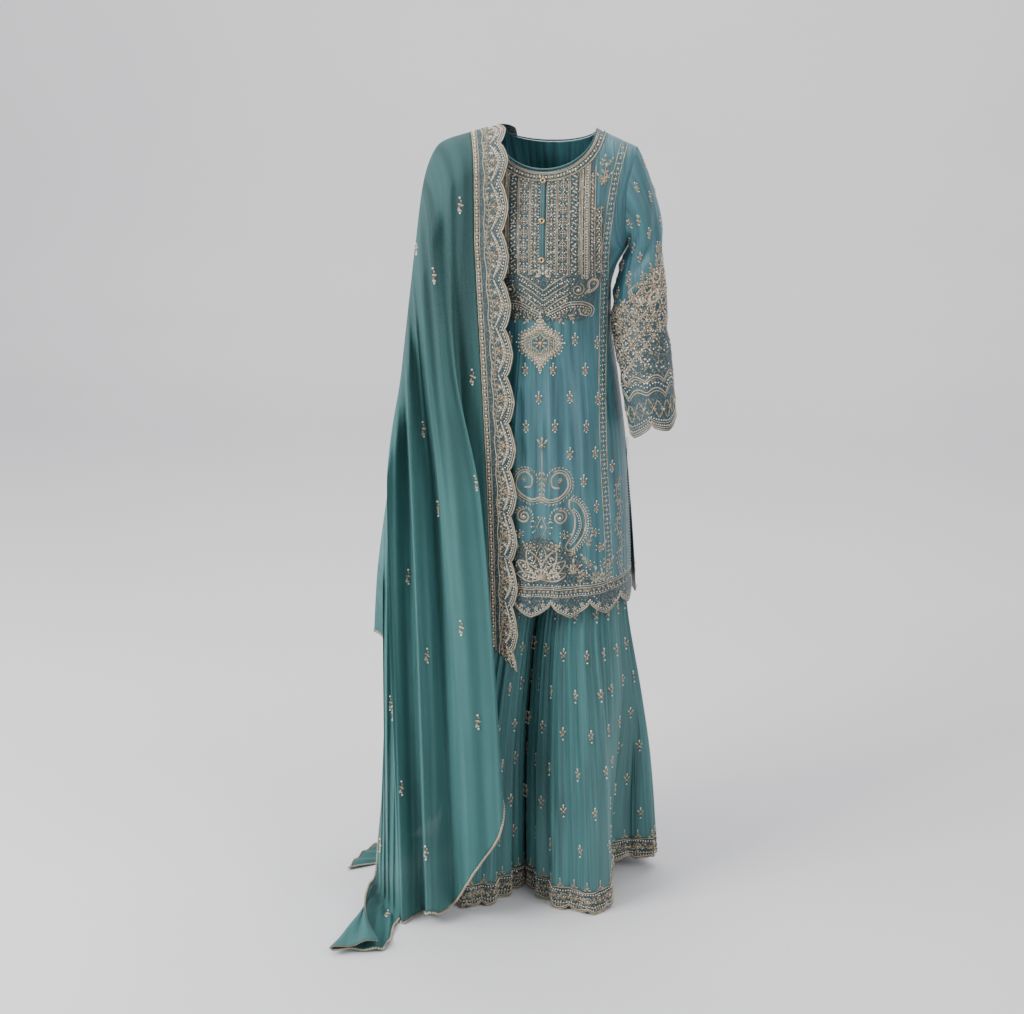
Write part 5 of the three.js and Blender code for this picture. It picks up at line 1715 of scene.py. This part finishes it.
butisRound = 14
for side in ("left", "right"):
    def legOn(turn, z, side=side):
        return flarePoint(side, np.radians(turn), z)

    work = canvas(legOn, 1 if side == "left" else -1, (0.25, 1.0))
    turns = np.linspace(-180, 180, 721)
    walk = walkOf(legOn(turns, np.full(turns.shape, -1400.0)))
    for row in range(7):
        z = -880.0 - 78.0 * row
        for k in range(butisRound):
            place = (k + 0.5 * (row % 2) + 0.3) / butisRound * walk[-1] % walk[-1]
            smallButi(penAt(work, float(np.interp(place, walk, turns)), z, 0.0, 1.4))
    edge = np.degrees(np.linspace(-math.pi, math.pi, 1201))
    step = walkOf(legOn(edge, gharara["bandTop"] + hemLift(np.radians(edge))))

    def hemRow(pitch, rise, start=0.5, step=step, edge=edge):
        # places along the band at an even pitch, at a height over its lower edge line
        count = int(step[-1] / pitch)
        turn = np.interp((np.arange(count) + start) * step[-1] / count, step, edge)
        return pair(turn, gharara["floor"] + hemLift(np.radians(turn)) + rise)

    pen = flatPen(work)
    count = 520
    even = np.interp(np.linspace(0, 1, count) * step[-1], step, edge)
    base = gharara["floor"] + hemLift(np.radians(even))
    cut = gharara["scallopDepth"] * (1 - scallop((even + 180.0) / 360.0 * gharara["scallops"]))
    wave = 1.6 * np.sin(np.linspace(0, 1, count) * step[-1] / 14.0)
    for rise, slot, width, follow in ((1.6, "goldThread", 2.4, 1.0), (5.4, "beigeThread", 1.8, 1.0),
                                      (14.0, "goldThread", 1.3, 0.6), (47.0, "goldThread", 1.8, 0.0)):
        line = base + rise + cut * follow + (wave if rise == 47.0 else 0.0)
        thread(pen, slot, pair(even, line), width, 1.0)
    pearls(pen, hemRow(5.0, 43.0), 1.35)
    pearls(pen, hemRow(5.6, 17.5), 1.2)
    stampAll(pen, "petal", "beigePetal", hemRow(5.4, 11.0), (2.4, 1.3, 1.2), 90)
    for k, (turn, z) in enumerate(hemRow(26.0, 29.0)):
        spot = penAt(work, turn, z, 0.0, 1.0, 1.0 if k % 2 else -1.0)
        if k % 2:
            scroll(spot, 0, 0, 7.6, 1.5, 20, 1.0, 1.8, False)
        else:
            bloom(spot, 0, 0, 6.6)
        sprig(spot, 7.5, -5.0, 62, 12, 2)
        sprig(spot, -7.5, 5.0, 242, 12, 2)
    for turn, z in hemRow(29.0, 53.0):
        finial = penAt(work, turn, z)
        bloom(finial, 0, 3.4, 4.6, 5, "goldPetal", "peachStone", 90.0)
        stampAll(finial, "petal", "beigePetal", [(0, 10.5), (-4.6, -1.0), (4.6, -1.0)], (3.0, 1.3, 1.1),
                 [90, 150, 30])
        pearls(finial, [(0, 14.8)], 1.2)
    chance = np.random.default_rng(41)
    turn = np.interp(chance.uniform(0, step[-1], 1900), step, edge)
    rise = chance.uniform(19.0, 41.0, 1900)
    some = pair(turn, gharara["floor"] + hemLift(np.radians(turn)) + rise)
    stampAll(pen, "seed", "greySeed", some[:1250], (1.25, 1.25, 1.0))
    stampAll(pen, "seed", "goldPetal", some[1250:1650], (1.2, 1.2, 1.0))
    stampAll(pen, "seed", "pearl", some[1650:], (1.15, 1.15, 1.0))
    sew("ghararaWork" + side.capitalize(), work)
print("gharara needlework ready")


# The dupatta's needlework. The cloth goes by share and way, and the border by millimetres from its seam and
# millimetres from the shoulder.

dupattaButis = [
    (0.042, -0.176), (0.164, -0.155), (0.02, -0.486), (0.311, -0.249), (0.13, -0.478), (0.477, -0.383),
    (0.192, -0.627), (0.349, -0.572), (0.697, -0.433), (0.172, -0.788), (0.531, -0.737), (0.393, -0.889),
    (0.26, -0.4), (0.6, -0.56), (0.82, -0.3), (0.86, -0.62), (0.72, -0.86), (0.9, -0.9), (0.24, -0.05),
]
backButis = [(0.06 + 0.22 * i + 0.11 * (j % 2), 0.12 + 0.15 * j) for j in range(6) for i in range(4)]


def dupattaOn(share, way):
    return dupattaPoint(share, np.clip(way, -1.0, 1.0))


clothWork = canvas(dupattaOn, -1, (0.0008, 0.0008))
for share, way in dupattaButis + backButis:
    smallButi(penAt(clothWork, share, way, 0.0 if way > 0 else 180.0, 1.6))


def edging(pen, shares, ways, pitch=5.0):
    # a narrow beaded edge: a gold line, with a beige bead at every step and a grey one between
    edge = pair(shares, ways)
    walk = walkOf(dupattaOn(shares, ways))
    even = np.linspace(0, walk[-1], max(8, int(walk[-1] / 4.0)))
    thread(pen, "goldThread", onLine(edge, walk, even), 4.2, 1.4)
    at = onLine(edge, walk, (np.arange(int(walk[-1] / pitch)) + 0.5) * pitch)
    pearls(pen, at, 1.9, "beigePetal")
    stampAll(pen, "seed", "greySeed", at[:-1] * 0.5 + at[1:] * 0.5, (1.9, 1.9, 1.9))


pen = flatPen(clothWork)
edging(pen, np.linspace(0.004, 0.997, 900), np.full(900, -0.9985))
edging(pen, np.linspace(0.004, 0.997, 900), np.full(900, 0.9985))
edging(pen, np.full(900, 0.997), np.linspace(-0.997, 0.997, 900))
sew("dupattaWork", clothWork)


def borderWidth(down):
    side, seam = (dupattaPoint(np.full(np.shape(down), share), down / dupatta["walk"], 0.0)
                  for share in (-dupatta["borderShare"], 0.0))
    return np.linalg.norm(side - seam, axis=-1)


def borderOn(off, down):
    way = np.clip(down / dupatta["walk"], -1.0, 1.0)
    width = borderWidth(way * dupatta["walk"])
    return dupattaPoint(-dupatta["borderShare"] * off / width, way, 1.0)


def borderEdge(down):
    return borderWidth(down) - dupatta["lobeDepth"] * (1 - scallop(np.abs(down) / dupatta["lobe"]))


borderWork = canvas(borderOn, 1, (1.0, 1.0))
pen = flatPen(borderWork)
down = np.linspace(-1038, 1038, 900)
for off, slot, width in ((2.0, "goldThread", 1.6), (12.0, "goldThread", 1.3), (22.0, "beigeThread", 1.3)):
    bend = 1.2 * np.sin(down / 9.0) if off == 22.0 else 0.0
    thread(pen, slot, pair(off + bend, down), width, 0.9)
for off, slot, width in ((2.2, "goldThread", 2.2), (6.0, "beigeThread", 1.6)):
    thread(pen, slot, pair(borderEdge(down) - off, down), width, 1.1)
steps = np.arange(-1034, 1034, 5.4)
pearls(pen, pair(borderEdge(steps) - 9.4, steps), 1.35)
wide = np.arange(-1030, 1030, 13.0)
pearls(pen, pair(7.0, wide), 1.9)
for y in wide[:-1]:
    bloom(pen, 7.0, y + 6.5, 4.2, 5, "beigePetal", "peachStone", 90.0)
vine = pair(28.5 + 3.0 * np.sin(down / 13.0), down)
thread(pen, "goldThread", vine, 1.2, 0.8)
leafPair(pen, vine, 9.5, (3.4, 1.4, 1.1), 50, off=3.2)
lobes = int(dupatta["walk"] / dupatta["lobe"]) + 1
inward = 34.0
for way in (1, -1):
    for k in range(lobes):
        low, high = k * dupatta["lobe"], min((k + 1) * dupatta["lobe"], dupatta["walk"] - 4)
        if high - low < 24:
            continue
        middle = (low + high) / 2
        run = np.linspace(low + 2, high - 2, 26)
        shape = np.sin((run - low) / (high - low) * math.pi)
        full = borderEdge(way * run) - 14.0
        for share, slot in ((1.0, "goldThread"), (0.72, "beigeThread")):
            thread(pen, slot, pair(inward + (full - inward) * share * shape ** 0.6, way * run))
        pearlRow(pen, pair(inward + (full - inward) * 0.86 * shape ** 0.6, way * run), 5.6, 1.25)
        heart = inward + (float(np.max(full)) - inward) * 0.34
        bloom(pen, heart, way * middle, 7.0, 8, "goldPetal", "peachStone")
        for side in (1, -1):
            bloom(pen, heart - 3.0, way * middle + side * 19.0, 5.0, 6, "beigePetal", "pearl")
            sprig(pen, heart + 2.0, way * middle + side * 8.0, 40.0 * side, 12, 2)
        sprig(pen, heart + 6.0, way * middle, 0.0, 14, 3)


def inBorder(off, y):
    return (off > 24.0) & (off < borderEdge(y) - 10.0)


seeds(pen, (24, -1030), (86, 1030), 5.6, inBorder, 51)
sew("dupattaBorderWork", borderWork)
print("dupatta needlework ready")


# The room: a pale floor that turns up into a pale wall, and soft studio lights.

room = {
    "floor": -1.478, "wall": 4.2, "half": 9.0, "bend": 1.4, "radius": 0.89, "colour": (226, 225, 226),
    "second": (215, 214, 216), "drift": 0.4, "driftScale": 0.7,
}


def makeRoom():
    form = bmesh.new()
    bmesh.ops.create_grid(form, x_segments=4, y_segments=40, size=room["half"])
    for vert in form.verts:
        past = max(0.0, vert.co.y - room["wall"])
        bend = min(past, room["bend"])
        angle = bend / room["bend"] * math.pi / 2
        if past > 0:
            vert.co.y = room["wall"] + room["radius"] * math.sin(angle)
            vert.co.z = room["radius"] * (1 - math.cos(angle)) + (past - bend)
        vert.co.z += room["floor"]
    mesh = bpy.data.meshes.new("floor")
    form.to_mesh(mesh)
    form.free()
    material, tree, shader = newMaterial("paleFloor")
    tone = toneNode(tree, node(tree, "ShaderNodeTexCoord").outputs["Object"], room)
    tree.links.new(tone.outputs["Color"], shader.inputs["Base Color"])
    shader.inputs["Roughness"].default_value = 0.8
    shader.inputs["Specular IOR Level"].default_value = 0.2
    mesh.materials.append(material)
    mesh.shade_smooth()
    floor = bpy.data.objects.new("floor", mesh)
    bpy.context.scene.collection.objects.link(floor)


def areaLight(name, place, target, size, power):
    data = bpy.data.lights.new(name, "AREA")
    data.shape = "RECTANGLE"
    data.size, data.size_y = size
    data.energy = power
    light = bpy.data.objects.new(name, data)
    light.location = place
    x, y, z = np.array(target, float) - np.array(place, float)
    light.rotation_euler = (math.atan2(math.hypot(x, y), -z), 0.0, math.atan2(-x, y))
    bpy.context.scene.collection.objects.link(light)


makeRoom()
areaLight("keyLight", (-3.2, -2.6, 1.9), (0.0, 0.0, -0.7), (2.0, 2.0), 215.0)
areaLight("fillLight", (3.0, -2.4, 1.6), (0.0, 0.0, -0.7), (2.4, 2.4), 62.0)
areaLight("leftLight", (-3.6, -0.9, 0.1), (-0.2, 0.0, -0.8), (2.0, 2.4), 84.0)
areaLight("topLight", (0.0, 0.6, 3.2), (0.0, 0.2, -1.0), (3.4, 3.4), 110.0)
areaLight("wallLight", (0.0, 2.0, 3.6), (0.0, 5.2, 0.0), (6.0, 1.5), 100.0)
world = bpy.data.worlds.new("room")
bpy.context.scene.world = world
world.use_nodes = True
sky = world.node_tree.nodes["Background"].inputs
sky["Color"].default_value = (0.9, 0.93, 1.0, 1.0)
sky["Strength"].default_value = 0.55
print("room ready")
